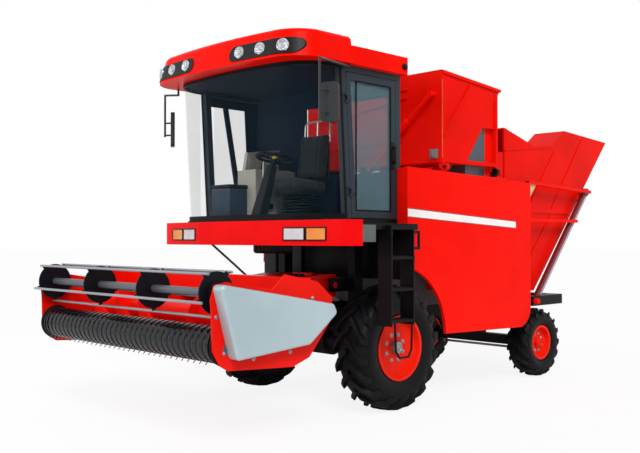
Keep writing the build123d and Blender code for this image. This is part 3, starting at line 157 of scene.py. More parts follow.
def new_material(name):
    """An empty material with its shader, and a wire to start from."""
    material = bpy.data.materials.new(name)
    material.use_nodes = True
    tree = material.node_tree
    return material, tree.nodes["Principled BSDF"], Wire(tree)


def link(wire, shader, name):
    wire.tree.links.new(wire.socket, shader.inputs[name])


def fixed(shader, **values):
    """Sets what is the same all over a surface (_ for a space)."""
    for name, value in values.items():
        shader.inputs[name.replace("_", " ")].default_value = value


FLOOR_HALF = 120.0
FLOOR_GLOW = 0.88
floor_mesh = bpy.data.meshes.new("floor")
corners = [(x * FLOOR_HALF, y * FLOOR_HALF, 0) for x, y in ((-1, -1), (1, -1), (1, 1), (-1, 1))]
floor_mesh.from_pydata(corners, [], [(0, 1, 2, 3)])
placed("floor", floor_mesh)
floor_material, shader, wire = new_material("pale_floor")
fixed(shader, Base_Color=(0.93, 0.93, 0.93, 1), Roughness=0.9, Specular_IOR_Level=0.1)
seen = wire.add("LightPath", {}, "Is Camera Ray") * FLOOR_GLOW
glow = wire.add("Emission", {}, Color=(1, 1, 1, 1), Strength=1.0)
mixed = wire.add("MixShader", {}, n0=seen, n1=Wire(wire.tree, shader.outputs[0]), n2=glow)
link(mixed, wire.tree.nodes["Material Output"], "Surface")
floor_mesh.materials.append(floor_material)

AMBIENT = 0.46
world = bpy.data.worlds.new("surround")
bpy.context.scene.world = world
world.use_nodes = True
wire = Wire(world.node_tree)
ray = wire.add("LightPath", {}, "Is Camera Ray")
rays = ray.socket.node.outputs
seen = ray + Wire(wire.tree, rays["Is Glossy Ray"]) + Wire(wire.tree, rays["Is Transmission Ray"])
surround = wire.tree.nodes["Background"]
fixed(surround, Color=(1, 1, 1, 1))
link(seen.above(0.0, 1.0).to(AMBIENT, 1.0), surround, "Strength")

sun = bpy.data.lights.new("sun", "SUN")
sun.energy = 2.05
sun.angle = math.radians(24)
aim(placed("sun", sun), (-0.42, -0.62, -0.66))
front_lamp = bpy.data.lights.new("front_lamp", "AREA")
front_lamp.energy = 260.0
front_lamp.size = 6.0
lamp = placed("front_lamp", front_lamp)
lamp.location = (10.0, -3.0, 5.5)
aim(lamp, (-9.0, 3.0, -4.0))


# Chassis: welded steel rails, axles and the rear beam, sprayed satin black over rough castings.
# Edges come out lighter, partly worn paint and partly a painted highlight, and a little field dust settles
# low down. The engine is one closed block.
def edge_mask(wire, radius):
    """1 along hard edges, 0 on flats, with the rounded normal it comes from."""
    rounded = wire.add("Bevel", {"samples": 4}, Radius=radius)
    flat = wire.add("NewGeometry", {}, "Normal")
    turn = wire.add("VectorMath", {"operation": "DOT_PRODUCT"}, "Value", n0=rounded, n1=flat)
    return (1 - turn).above(0.004, 0.12), rounded


def paint(name, colour, rough=0.3, coat=0.12, worn=(0.5, 0.5, 0.5, 1), edge=0.006, dust=0.03, wave=0.0012,
          shine=0.22, metal=0.0):
    """Sprayed enamel: slow colour drift, orange peel, lighter edges that are partly wear and partly a painted
    highlight, dust low down.
    """
    material, shader, wire = new_material(name)
    place = wire.add("TexCoord", {}, "Object")
    drift, grain, peel = place.noise(1.3), place.noise(26.0, 4.0), place.noise(420.0, 1.0)
    edges, rounded = edge_mask(wire, edge)
    height = wire.add("SeparateXYZ", {}, "Z", Vector=place)
    low_down = 1 - height.above(0.1, 1.5)
    deep = tuple(c * 0.9 for c in colour[:3]) + (1,)
    light = tuple(min(1.0, c * 1.05 + 0.001) for c in colour[:3]) + (1,)
    tone = drift.above(0.3, 0.7).blend(deep, light)
    # the worn colour along edges is partly paint wear and partly a painted highlight on the edges
    tone = (edges * grain.above(0.3, 0.65) * 0.4).blend(tone, worn)
    dusty = low_down * drift.above(0.35, 0.75) * dust + grain.above(0.6, 0.85) * (dust * 0.2)
    tone = dusty.blend(tone, rgb(150, 128, 104))
    link(tone, shader, "Base Color")
    link(grain * 0.1 + dusty * 1.2 + (rough - 0.05), shader, "Roughness")
    link((drift + peel * 0.02).bump(0.22, wave, Normal=rounded), shader, "Normal")
    fixed(shader, Specular_IOR_Level=shine, Coat_Weight=coat, Coat_Roughness=0.1, Metallic=metal)
    return material


def dress(material, *names):
    """Gives CAD pieces their finish."""
    for name in names:
        mesh = nodes[name].data
        mesh.materials.clear()
        mesh.materials.append(material)


satin_black = paint("satin_black", rgb(9, 9, 12), 0.4, 0.0, rgb(52, 53, 57), dust=0.015, shine=0.13)
cast_black = paint("cast_black", rgb(13, 13, 16), 0.55, 0.0, rgb(56, 55, 55), dust=0.05, wave=0.004,
                   shine=0.12)
zinc = paint("zinc_steel", rgb(150, 154, 160), 0.34, 0.0, rgb(200, 200, 200), shine=0.5, metal=0.75)
dress(satin_black, "chassis_frame", "rear_beam")
dress(cast_black, "front_axle", "rear_axle", "engine_block", "knuckle_left", "knuckle_right")
dress(zinc, "tie_rod")


# Wheels: black farm tyres with deep slanted lugs, on pressed steel rims sprayed orange red.
# The lugs stand in two rows, half a step apart. Nuts hold each rim, and the front ones have a bright cap.
def at(x, y, z):
    """A place measured from the front axle on the ground."""
    return Vector((x + AXLE_X, y, z))


def closed(bm, name):
    """A mesh with its faces outwards."""
    bmesh.ops.recalc_face_normals(bm, faces=bm.faces)
    mesh = bpy.data.meshes.new(name)
    bm.to_mesh(mesh)
    bm.free()
    return mesh


def smoothed(mesh):
    for face in mesh.polygons:
        face.use_smooth = True


def piece(name, shape, body, material, angle=38, hides=()):
    """A finished object at the origin, riding on its body."""
    mesh = shape if isinstance(shape, bpy.types.Mesh) else closed(shape, name)
    mesh.materials.clear()
    mesh.materials.append(material)
    smoothed(mesh)
    mesh.set_sharp_from_angle(angle=math.radians(angle))
    made = placed(name, mesh)
    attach(made, body)
    if hides:
        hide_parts(*hides)
    return made


def baked(made):
    """The object's mesh with its modifiers applied."""
    bpy.context.view_layer.update()
    return bpy.data.meshes.new_from_object(made.evaluated_get(bpy.context.evaluated_depsgraph_get()))


def circle(count):
    """Cosine and sine of evenly spaced turns."""
    return [(math.cos(2 * math.pi * i / count), math.sin(2 * math.pi * i / count)) for i in range(count)]


def skin(bm, rings):
    """Both end faces, then the faces from ring to ring."""
    bm.faces.new(rings[0])
    bm.faces.new(rings[-1][::-1])
    for first, second in zip(rings, rings[1:]):
        for i in range(len(first)):
            j = (i + 1) % len(first)
            bm.faces.new((first[i], first[j], second[j], second[i]))


def lathe(bm, profile, centre, axis, segments=32):
    """Turns (along, radius) points round an axis; a radius of 0 closes an end."""
    turn = Vector((0, 0, 1)).rotation_difference(Vector(axis).normalized())
    rings = []
    for along, radius in profile:
        ring = circle(segments) if radius else [(0, 0)]
        rings.append([bm.verts.new(Vector(centre) + turn @ Vector((radius * c, radius * s, along)))
                      for c, s in ring])
    for first, second in zip(rings, rings[1:]):
        for i in range(segments):
            j = (i + 1) % segments
            corners = [row[k % len(row)] for row, k in ((first, i), (first, j), (second, j), (second, i))]
            bm.faces.new([corner for k, corner in enumerate(corners) if corner not in corners[:k]])


def node_tree(name, inputs):
    """A geometry tree with named inputs; returns it, a wire for each input, and its output node."""
    tree = bpy.data.node_groups.new(name, "GeometryNodeTree")
    tree.interface.new_socket("Geometry", in_out="INPUT", socket_type="NodeSocketGeometry")
    for label, kind in inputs:
        tree.interface.new_socket(label, in_out="INPUT", socket_type="NodeSocket" + kind)
    tree.interface.new_socket("Geometry", in_out="OUTPUT", socket_type="NodeSocketGeometry")
    start = tree.nodes.new("NodeGroupInput")
    return tree, {s.name: Wire(tree, s) for s in start.outputs if s.name}, tree.nodes.new("NodeGroupOutput")


def grown(base, tree, values):
    """Runs a geometry tree on a base mesh and returns the result as a plain mesh."""
    source = placed("grown", base)
    modifier = source.modifiers.new("grow", "NODES")
    modifier.node_group = tree
    for item in tree.interface.items_tree:
        if item.in_out == "INPUT" and item.name in values:
            modifier[item.identifier] = values[item.name]
    mesh = baked(source)
    source.modifiers.remove(modifier)
    bpy.data.objects.remove(source)
    return mesh


lug_ring, given, end = node_tree("lug_ring", [("Lug", "Object"), ("Count", "Int"), ("Centre", "Vector"),
                                              ("Rubber", "Material")])
start = given["Geometry"]
spots = start.add("GeometryNodePoints", Count=given["Count"])
step = start.add("GeometryNodeInputIndex") * (2 * math.pi) / given["Count"]
turn = start.add("FunctionNodeEulerToRotation", Euler=start.add("CombineXYZ", Y=step))
lug = start.add("GeometryNodeObjectInfo", {}, "Geometry", Object=given["Lug"])
ring = start.add("GeometryNodeInstanceOnPoints", Points=spots, Instance=lug, Rotation=turn)
ring = start.add("GeometryNodeRealizeInstances", Geometry=ring)
joined = start.add("GeometryNodeJoinGeometry", Geometry=start)
lug_ring.links.new(ring.socket, joined.socket.node.inputs["Geometry"])
joined = start.add("GeometryNodeTransform", Geometry=joined, Translation=given["Centre"])
joined = start.add("GeometryNodeSetMaterial", Geometry=joined, Material=given["Rubber"])
lug_ring.links.new(joined.socket, end.inputs["Geometry"])


def lug_pair(radius, half, rim_r, count, lug_high):
    """One lug of each row: a slanted bar from mid tread, round the shoulder, down the side wall."""
    bm = bmesh.new()
    deep = radius - rim_r
    slant = 2 * math.pi / count * 1.05
    # share of the half width, depth of the lug's top, depth of its foot in lug heights
    stations = [(-0.06, 0.0, 1.3), (0.25, 0.002, 1.3), (0.55, 0.006, 1.4), (0.8, 0.014, 1.6),
                (0.93, 0.03, 2.2), (0.985, 0.34 * deep, 0.42 * deep / lug_high),
                (0.96, 0.5 * deep, 0.56 * deep / lug_high)]
    for side, offset in ((1, 0.0), (-1, math.pi / count)):
        rows = []
        for share, down, foot in stations:
            bend = slant * min(1.0, share) * (0.55 + 0.45 * share) + offset
            wide = 0.24 * 2 * math.pi / count * (1.0 + 0.1 * share)
            top = radius - down
            low = radius - max(foot * lug_high, down + 0.012)
            corners = ((low, -wide * 0.72), (top, -wide * 0.5), (top, wide * 0.5), (low, wide * 0.72))
            rows.append([bm.verts.new((r * math.sin(bend + w), side * share * half, r * math.cos(bend + w)))
                         for r, w in corners])
        skin(bm, rows)
    return closed(bm, "lug")


def tyre(name, centre, wheel, body, node):
    """A turned carcass from bead to bead, with its ring of lugs."""
    radius, rim_r, flange_y, lug_high = wheel["radius"] - 0.001, wheel["rim"], wheel["flange"], wheel["high"]
    half = wheel["width"] / 2
    deep = radius - rim_r
    bead = rim_r - 0.017
    shoulder = [(0.0, deep - lug_high), (0.45, deep - lug_high - 0.004), (0.76, 0.80 * deep),
                (0.92, 0.68 * deep), (1.0, 0.5 * deep), (0.99, 0.33 * deep), (0.95, 0.18 * deep),
                (0.9, 0.08 * deep)]
    outer = [(share * half, rim_r + up) for share, up in shoulder]
    outer += [(flange_y, rim_r + 0.006), (flange_y, bead)]
    bm = bmesh.new()
    lathe(bm, [(-y, r) for y, r in outer[::-1]] + outer[1:] + [(-flange_y, bead)], (0, 0, 0), (0, 1, 0), 72)
    bmesh.ops.remove_doubles(bm, verts=bm.verts, dist=1e-6)
    lug_object = placed("lug", lug_pair(radius, half, rim_r, wheel["lugs"], lug_high))
    values = {"Lug": lug_object, "Count": wheel["lugs"], "Centre": centre, "Rubber": rubber}
    mesh = grown(closed(bm, name), lug_ring, values)
    bpy.data.objects.remove(lug_object)
    piece(name, mesh, body, rubber, 42, (node,))


bolt_rows, given, end = node_tree("bolt_rows", [("Head", "Object"), ("Size", "Float"), ("Metal", "Material")])
start = given["Geometry"]
facing = start.add("GeometryNodeInputNamedAttribute", {"data_type": "FLOAT_VECTOR"}, Name="facing")
turn = start.add("FunctionNodeAlignRotationToVector", {"axis": "Z"}, Vector=facing)
head = start.add("GeometryNodeObjectInfo", {}, "Geometry", Object=given["Head"])
heads = start.add("GeometryNodeInstanceOnPoints", Points=start, Instance=head, Rotation=turn,
                  Scale=given["Size"])
heads = start.add("GeometryNodeRealizeInstances", Geometry=heads)
heads = start.add("GeometryNodeSetMaterial", Geometry=heads, Material=given["Metal"])
bolt_rows.links.new(heads.socket, end.inputs["Geometry"])


def bolts(name, spots, size, body, metal):
    """Hexagon heads on washers at (place, facing) spots; size is the head's radius."""
    bm = bmesh.new()
    lathe(bm, [(-0.3, 0), (-0.3, 1.7), (0.2, 1.6), (0.2, 0)], (0, 0, 0), (0, 0, 1), 12)
    lathe(bm, [(0.2, 0), (0.2, 1.0), (0.8, 1.0), (0.95, 0.8), (0.95, 0)], (0, 0, 0), (0, 0, 1), 6)
    head = placed("head", closed(bm, "head"))
    base = bpy.data.meshes.new(name)
    base.from_pydata([tuple(place) for place, _ in spots], [], [])
    way = base.attributes.new("facing", "FLOAT_VECTOR", "POINT")
    for i, (_, facing) in enumerate(spots):
        way.data[i].vector = tuple(facing)
    mesh = grown(base, bolt_rows, {"Head": head, "Size": size, "Metal": metal})
    bpy.data.objects.remove(head)
    piece(name, mesh, body, metal, 30)


rubber = paint("tyre_rubber", rgb(6, 7, 10), 0.48, 0.0, rgb(26, 28, 33), dust=0.008, wave=0.003, shine=0.12)
rim_orange = paint("rim_orange", rgb(238, 34, 10), 0.32, 0.02, rgb(250, 100, 66), shine=0.06)
WHEELS = {
    "front": {"x": 0.0, "y": 1.002, "radius": 0.635, "width": 0.385, "rim": 0.33, "flange": 0.1625,
              "lugs": 18, "high": 0.04, "disc": 0.097, "nut_ring": 0.135, "cap": 0.066,
              "cap_slot": "grey_steel", "cap_paint": zinc},
    "rear": {"x": -2.937, "y": 0.875, "radius": 0.428, "width": 0.29, "rim": 0.215, "flange": 0.1075,
             "lugs": 16, "high": 0.028, "disc": 0.047, "nut_ring": 0.115, "cap": 0.05,
             "cap_slot": "orange_rim", "cap_paint": rim_orange},
}
for end_name, wheel in WHEELS.items():
    for side_name, side in (("left", 1), ("right", -1)):
        body = f"{end_name}_wheel_{side_name}"
        middle = at(wheel["x"], side * wheel["y"], wheel["radius"])
        dress(rim_orange, f"{end_name}_rim_{side_name}")
        tyre(f"{body}_tyre", middle, wheel, body, f"{end_name}_tyre_{side_name}")
        out = Vector((0, side, 0))
        face = middle + out * wheel["disc"]
        spots = []
        for i in range(8):
            a = math.radians(45 * i + 22)
            spots.append((face + wheel["nut_ring"] * Vector((math.cos(a), 0, math.sin(a))), out))
        bolts(f"{body}_nuts", spots, 0.014, body, zinc)
        bm = bmesh.new()
        cap_r = wheel["cap"]
        lathe(bm, [(-0.01, 0), (-0.01, cap_r), (0.036, cap_r), (0.05, cap_r * 0.9), (0.056, cap_r * 0.6),
                   (0.05, cap_r * 0.5), (0.06, cap_r * 0.3), (0.062, 0)], face, out, 28)
        piece(f"{body}_cap", bm, body, wheel["cap_paint"])


# Body: folded sheet panels in glossy red orange round the closed grey threshing housing, with a plain
# white band along each side. Screws hold the panels' edges; beige gussets tie them to the rear frame.
def prism(bm, low, high):
    """A solid between two loops of points."""
    skin(bm, [[bm.verts.new(Vector(p)) for p in loop] for loop in (low, high)])


def slab(bm, loop, shift):
    """A plate: a loop of points carried along by a shift."""
    prism(bm, loop, [Vector(p) + Vector(shift) for p in loop])


def long_plate(bm, y, corners, thick):
    """A plate along the machine: (x, z) corners at y, and how far its thickness goes to the left."""
    slab(bm, [at(x, y, z) for x, z in corners], (0, thick, 0))


def cross_plate(bm, x, corners, thick):
    """A plate across the machine: (y, z) corners at x, and how far its thickness goes forward."""
    slab(bm, [at(x, y, z) for y, z in corners], (thick, 0, 0))


def strip(bm, first, last, across, out):
    """A ribbon from one place to another: across is its width, out its thickness."""
    half = Vector(across) / 2
    slab(bm, [first - half, last - half, last + half, first + half], out)


body_red = paint("body_red", rgb(252, 14, 0), 0.34, 0.0, rgb(255, 70, 36), shine=0.04)
housing_grey = paint("housing_grey", rgb(112, 118, 122), 0.45, 0.0, rgb(170, 170, 170))
decal_white = paint("decal_white", rgb(250, 243, 240), 0.4, 0.1, rgb(230, 225, 220), dust=0.01)
beige = paint("beige_primer", rgb(214, 190, 140), 0.5, 0.0, rgb(230, 214, 180))
slate = paint("slate_grey", rgb(66, 78, 88), 0.4, 0.1, rgb(120, 128, 134), shine=0.35)
dress(body_red, "body_panel_left", "body_panel_right", "body_deck", "lift_hood")
dress(housing_grey, "thresher_housing")
dress(slate, "lift_casing")
PANEL_Y = 1.165
BAND_REAR_X = -2.10
BAND_FRONTS = ((1, -0.128), (-1, -0.193))
bm = bmesh.new()
cross_plate(bm, -0.126, [(1.026, 1.885), (1.131, 1.885), (1.131, 2.465), (1.026, 2.455)], -0.010)
piece("panel_return", bm, "chassis", body_red)
bm = bmesh.new()
for side, front in BAND_FRONTS:
    corners = [(front, 2.04), (BAND_REAR_X, 1.93), (BAND_REAR_X, 1.858), (front, 1.96)]
    long_plate(bm, side * PANEL_Y, corners, side * 0.0012)
piece("side_bands", bm, "chassis", decal_white)
bm = bmesh.new()
for side, front in BAND_FRONTS:
    y = side * (PANEL_Y + 0.0002)
    for front_z, rear_z in ((2.044, 1.934), (1.956, 1.854)):
        strip(bm, at(front, y, front_z), at(BAND_REAR_X, y, rear_z), (0, 0, 0.006), (0, side * 0.0008, 0))
piece("band_edges", bm, "chassis", slate)
PANEL_SCREWS = ((-0.3, 2.42), (-0.95, 2.40), (-1.65, 2.375), (-2.33, 2.35), (-2.36, 1.6), (-2.36, 1.05),
                (-1.0, 0.77), (-1.7, 0.755), (-0.83, 1.1), (-0.2, 1.62))
spots = [(at(x, side * PANEL_Y, z), (0, side, 0)) for side in (1, -1) for x, z in PANEL_SCREWS]
bolts("panel_screws", spots, 0.009, "chassis", body_red)
GUSSET_Y = 1.118
GUSSET_FLANGE_Y = 1.094
bm = bmesh.new()
for side in (1, -1):
    front, rear = at(-2.421, side * GUSSET_Y, 2.395), at(-2.62, side * GUSSET_Y, 2.41)
    fold = Vector((0, side * (GUSSET_FLANGE_Y - GUSSET_Y), 0))
    corners = [(-2.421, 2.395), (-2.62, 2.41), (-2.6, 2.37), (-2.421, 2.17)]
    long_plate(bm, side * GUSSET_Y, corners, side * 0.005)
    slab(bm, [front, rear, rear + fold, front + fold], (0, 0, 0.004))
piece("rear_gussets", bm, "chassis", beige)


# Platform: a welded walkway with the red bent bumper and its lamps round the front and a ladder at the door.
# Each lamp is a moulded housing with a ribbed lens. A grey-green plate closes the platform's left end.
def rounded(bm, low, high, radius, segments=2):
    """A box with rolled edges."""
    box = bmesh.new()
    (x0, y0, z0), (x1, y1, z1) = low, high
    slab(box, [(x0, y0, z0), (x1, y0, z0), (x1, y1, z0), (x0, y1, z0)], (0, 0, z1 - z0))
    bmesh.ops.recalc_face_normals(box, faces=box.faces)
    bmesh.ops.bevel(box, geom=box.edges[:], offset=radius, segments=segments, profile=0.5, affect="EDGES")
    mesh = bpy.data.meshes.new("box")
    box.to_mesh(mesh)
    box.free()
    bm.from_mesh(mesh)
    bpy.data.meshes.remove(mesh)


def turned_box(bm, centre, half, yaw, radius):
    """A rolled-edge box about its centre, turned round the upright axis."""
    first = len(bm.verts)
    rounded(bm, -Vector(half), Vector(half), radius)
    bm.verts.ensure_lookup_table()
    place = Matrix.Translation(centre) @ Matrix.Rotation(yaw, 4, "Z")
    bmesh.ops.transform(bm, matrix=place, verts=bm.verts[first:])


def ribbed_lens(name, colour, deep):
    """Moulded lamp plastic: close ribs, a tone that drifts at random, clear gloss on top."""
    material, shader, wire = new_material(name)
    place = wire.add("TexCoord", {}, "Object")
    ribs = wire.add("TexWave", {"bands_direction": "Y"}, "Fac", Vector=place, Scale=26.0, Distortion=0.0)
    cloud = place.noise(9.0)
    link((ribs * 0.45 + cloud * 0.6).blend(deep, colour), shader, "Base Color")
    link(cloud.to(0.08, 0.2), shader, "Roughness")
    link(ribs.bump(0.5, 0.003), shader, "Normal")
    fixed(shader, Coat_Weight=0.4)
    return material


bumper_red = paint("bumper_red", rgb(243, 8, 12), 0.28, 0.0, rgb(250, 70, 70), shine=0.05)
end_green = paint("end_plate_green", rgb(92, 100, 96), 0.5, 0.0, rgb(140, 146, 140))
plastic = paint("black_plastic", rgb(9, 9, 12), 0.4, 0.0, rgb(40, 40, 44), shine=0.16)
dress(satin_black, "cab_platform", "ladder")
dress(bumper_red, "cab_bumper")
dress(ribbed_lens("white_lens", rgb(250, 250, 248), rgb(150, 154, 160)), "head_lamps")
dress(ribbed_lens("amber_lens", rgb(255, 170, 30), rgb(214, 96, 4)), "turn_lamps")
# a ribbed black plate across the machine behind the platform; its black is painted shade for the space under
# the platform
bm = bmesh.new()
rounded(bm, at(-0.185, -1.12, 1.31), at(-0.165, 1.12, 1.82), 0.004)
for y in (-0.9, -0.45, 0.45, 0.9):
    rounded(bm, at(-0.168, y - 0.02, 1.33), at(-0.15, y + 0.02, 1.80), 0.005)
rounded(bm, at(-0.185, -1.125, 1.82), at(-0.172, 1.125, 2.39), 0.004)
piece("bulkhead", bm, "chassis", satin_black)
# the slanted facet of the bumper, and the shares of its length that the two lamps take
FACET_IN = (1.168, 0.625)
FACET_OUT = (1.07, 1.37)
LAMP_SHARES = ((0.12, 0.44), (0.49, 0.78))
LAMP_LOW, LAMP_MIDDLE, LAMP_HIGH = 1.719, 1.7775, 1.836
BEZEL = 0.006
bm = bmesh.new()
for side in (1, -1):
    inner = at(FACET_IN[0], side * FACET_IN[1], 0)
    run = at(FACET_OUT[0], side * FACET_OUT[1], 0) - inner
    yaw = math.atan2(run.y, run.x)
    out = Vector((run.y, -run.x, 0)).normalized() * side
    for share_in, share_out in LAMP_SHARES:
        middle = inner + run * (share_in + share_out) / 2 + out * 0.004
        half_long = run.length * (share_out - share_in) / 2 + 0.010
        for rise in (LAMP_LOW, LAMP_HIGH):
            turned_box(bm, middle + Vector((0, 0, rise)), (half_long, BEZEL, BEZEL), yaw, 0.002)
        for share, reach in ((share_in, -0.008), (share_out, 0.008)):
            place = inner + run * share + run.normalized() * reach + out * 0.004 + Vector((0, 0, LAMP_MIDDLE))
            turned_box(bm, place, (BEZEL, BEZEL, 0.062), yaw, 0.002)
piece("lamp_bezels", bm, "chassis", plastic)
bm = bmesh.new()
rounded(bm, at(0.668, 1.428, 1.702), at(0.848, 1.447, 1.862), 0.004)
rounded(bm, at(0.69, 1.446, 1.72), at(0.826, 1.45, 1.844), 0.0015)
piece("platform_end", bm, "chassis", end_green)
bm = bmesh.new()
rounded(bm, at(0.80, 0.16, 1.585), at(1.09, 0.46, 1.822), 0.03, 3)
for y in (0.2, 0.26, 0.32, 0.38):
    rounded(bm, at(1.085, y, 1.62), at(1.097, y + 0.03, 1.79), 0.004)
piece("front_box", bm, "chassis", satin_black)
bm = bmesh.new()
for z in (0.93, 1.232, 1.535):
    for y in (1.31, 1.35, 1.39, 1.43):
        rounded(bm, at(0.145, y - 0.006, z + 0.018), at(0.445, y + 0.006, z + 0.034), 0.003)
piece("tread_bars", bm, "chassis", satin_black)
spots = [(at(x, 1.4605, z), (0, 1, 0)) for x in (0.133, 0.458) for z in (0.945, 1.247, 1.55, 1.78)]
bolts("ladder_bolts", spots, 0.009, "chassis", satin_black)


# Cab: a welded slate-grey frame with one bent windshield, a hinged glass door and a dark lining.
# The glass is tinted teal and bedded in black rubber, the door's pane lighter and denser as a painted
# reflection; the roof's lamps sit in two black pods.
def arc(first, through, last, count=12):
    """Points along the circle through three plan points."""
    (ax, ay), (bx, by), (cx, cy) = first, through, last
    d = 2 * (ax * (by - cy) + bx * (cy - ay) + cx * (ay - by))
    aa, bb, cc = ax * ax + ay * ay, bx * bx + by * by, cx * cx + cy * cy
    mx = (aa * (by - cy) + bb * (cy - ay) + cc * (ay - by)) / d
    my = (aa * (cx - bx) + bb * (ax - cx) + cc * (bx - ax)) / d
    radius = math.hypot(ax - mx, ay - my)
    a, c = math.atan2(ay - my, ax - mx), math.atan2(cy - my, cx - mx)
    c -= 2 * math.pi * round((c - a) / (2 * math.pi))
    turns = [a + (c - a) * i / count for i in range(count + 1)]
    return [(mx + radius * math.cos(t), my + radius * math.sin(t)) for t in turns]


def glass_line(z, grow=0.0):
    """The windshield's plan at a height, from left pillar to right pillar; grow moves it outwards."""
    plan = arc((0.62, 1.02), (0.91, 0.925), (1.06, 0.72))
    plan += arc((1.06, 0.72), (1.13, -0.09), (1.06, -0.90), 20)[1:]
    plan += arc((1.06, -0.90), (0.91, -1.105), (0.62, -1.20))[1:]
    lean = 0.09 * (z - 1.93) / 1.49
    line = []
    for i, (x, y) in enumerate(plan):
        before, after = plan[max(0, i - 1)], plan[min(len(plan) - 1, i + 1)]
        way = Vector((after[0] - before[0], after[1] - before[1], 0)).normalized()
        line.append(at(x + lean, y, z) + Vector((-way.y, way.x, 0)) * grow)
    return line


def band(bm, low, high, inner, outer):
    """A band round the windshield between two heights, from inner to outer of the glass line."""
    loops = [glass_line(low, inner), glass_line(low, outer), glass_line(high, outer), glass_line(high, inner)]
    skin(bm, [[bm.verts.new(p) for p in corners] for corners in zip(*loops)])


def tinted(name, colour, alpha, rough):
    """Tinted safety glass: a faint cloud of dust in the tint and in the gloss."""
    material, shader, wire = new_material(name)
    cloud = wire.add("TexCoord", {}, "Object").noise(2.2, 3.0)
    deep = tuple(c * 0.7 for c in colour[:3]) + (1,)
    link(cloud.blend(deep, colour), shader, "Base Color")
    link(cloud.to(rough, rough + 0.05), shader, "Roughness")
    link(cloud.to(alpha * 0.8, alpha * 1.2), shader, "Alpha")
    fixed(shader, Specular_IOR_Level=0.1)
    return material


seal = paint("rubber_seal", rgb(8, 8, 10), 0.55, 0.0, rgb(24, 24, 26), shine=0.12)
navy = paint("navy_lining", rgb(18, 28, 50), 0.75, 0.0, rgb(36, 46, 70), wave=0.004, shine=0.12)
cab_slate = paint("cab_slate", rgb(36, 46, 55), 0.4, 0.05, rgb(92, 102, 110), shine=0.2)
dress(cab_slate, "cab_frame", "cab_door")
dress(body_red, "cab_roof")
dress(plastic, "lamp_pods")
dress(tinted("windshield_glass", rgb(40, 66, 76), 0.09, 0.06), "windshield")
dress(tinted("side_glass", rgb(50, 80, 88), 0.08, 0.06), "cab_glass")
# the door pane's light teal at high alpha is the glass's tint plus a painted reflection
dress(tinted("door_pane_tint_and_painted_reflection", rgb(112, 144, 154), 0.42, 0.08), "door_glass")
bm = bmesh.new()
band(bm, 1.905, 1.972, -0.016, 0.012)
band(bm, 3.385, 3.425, -0.016, 0.010)
for y, out in ((1.015, 0.012), (-1.195, -0.012)):
    strip(bm, at(0.624, y, 1.95), at(0.71, y, 3.40), (0.022, 0, 0), (0, out, 0))
piece("windshield_seal", bm, "chassis", seal)
# the lining: ceiling board, boards on the rear wall, boards and a brace on the right wall
LINING_X = -0.105
LINING_Y = -1.182
bm = bmesh.new()
slab(bm, glass_line(3.398, -0.035) + [at(-0.10, -1.175, 3.398), at(-0.10, 0.995, 3.398)], (0, 0, 0.018))
cross_plate(bm, LINING_X, [(-1.17, 3.20), (0.99, 3.20), (0.99, 3.396), (-1.17, 3.396)], 0.014)
cross_plate(bm, LINING_X, [(-1.16, 1.94), (0.965, 1.94), (0.965, 2.40), (-1.16, 2.40)], 0.012)
cross_plate(bm, LINING_X, [(-1.16, 2.40), (-0.30, 2.40), (-0.30, 3.20), (-1.16, 3.20)], 0.012)
long_plate(bm, LINING_Y, [(-0.10, 3.255), (0.665, 3.255), (0.675, 3.396), (-0.10, 3.396)], 0.02)
long_plate(bm, LINING_Y, [(-0.10, 1.945), (0.02, 1.945), (0.10, 3.26), (-0.10, 3.26)], 0.02)
long_plate(bm, LINING_Y, [(0.115, 1.945), (0.175, 1.945), (0.425, 3.26), (0.365, 3.26)], 0.032)
piece("cab_lining", bm, "chassis", navy)
bm = bmesh.new()
slab(bm, glass_line(1.931, -0.05) + [at(-0.09, -1.15, 1.931), at(-0.09, 0.96, 1.931)], (0, 0, 0.007))
for i in range(9):
    rounded(bm, at(0.05 + 0.09 * i, 0.22, 1.937), at(0.085 + 0.09 * i, 0.9, 1.943), 0.002)
piece("floor_mat", bm, "chassis", seal)
# the door's opening, and the seal's place, width and thickness round it
(x0, z0), (x1, z1) = (-0.022, 2.018), (0.476, 3.272)
SEAL_Y, SEAL_W, SEAL_T = 1.014, 0.014, 0.010
bm = bmesh.new()
for a, b in (((x0 - SEAL_W, z0 - SEAL_W), (x1 + SEAL_W, z0)), ((x0 - SEAL_W, z1), (x1 + SEAL_W, z1 + SEAL_W)),
             ((x0 - SEAL_W, z0), (x0, z1)), ((x1, z0), (x1 + SEAL_W, z1))):
    rounded(bm, at(a[0], SEAL_Y, a[1]), at(b[0], SEAL_Y + SEAL_T, b[1]), 0.0025)
piece("door_seal", bm, "door", seal)
bm = bmesh.new()
rounded(bm, at(-0.088, 1.019, 2.44), at(-0.036, 1.026, 2.72), 0.003)
for z in (2.50, 2.644):
    rounded(bm, at(-0.076, 1.026, z), at(-0.050, 1.052, z + 0.026), 0.006)
rounded(bm, at(-0.078, 1.046, 2.49), at(-0.048, 1.062, 2.68), 0.006)
LOCK = [(0, 0), (0, 0.012), (0.006, 0.012), (0.008, 0.008), (0.008, 0)]
lathe(bm, LOCK, at(-0.062, 1.025, 2.46), (0, 1, 0), 16)
piece("door_handle", bm, "door", plastic)
dress(paint("mirror_shell", rgb(40, 44, 46), 0.35, 0.05, rgb(92, 96, 98), shine=0.3), "mirrors")
mirror_glass, shader, wire = new_material("mirror_glass")
cloud = wire.add("TexCoord", {}, "Object").noise(14.0)
link(cloud.blend(rgb(190, 200, 205), rgb(215, 222, 226)), shader, "Base Color")
link(cloud.to(0.03, 0.09), shader, "Roughness")
fixed(shader, Metallic=1.0)
MIRRORS = (((1.185, 1.352, 2.96), 29, 0.165, 0.36), ((0.97, -1.445, 2.982), -33, 0.15, 0.395))
bm = bmesh.new()
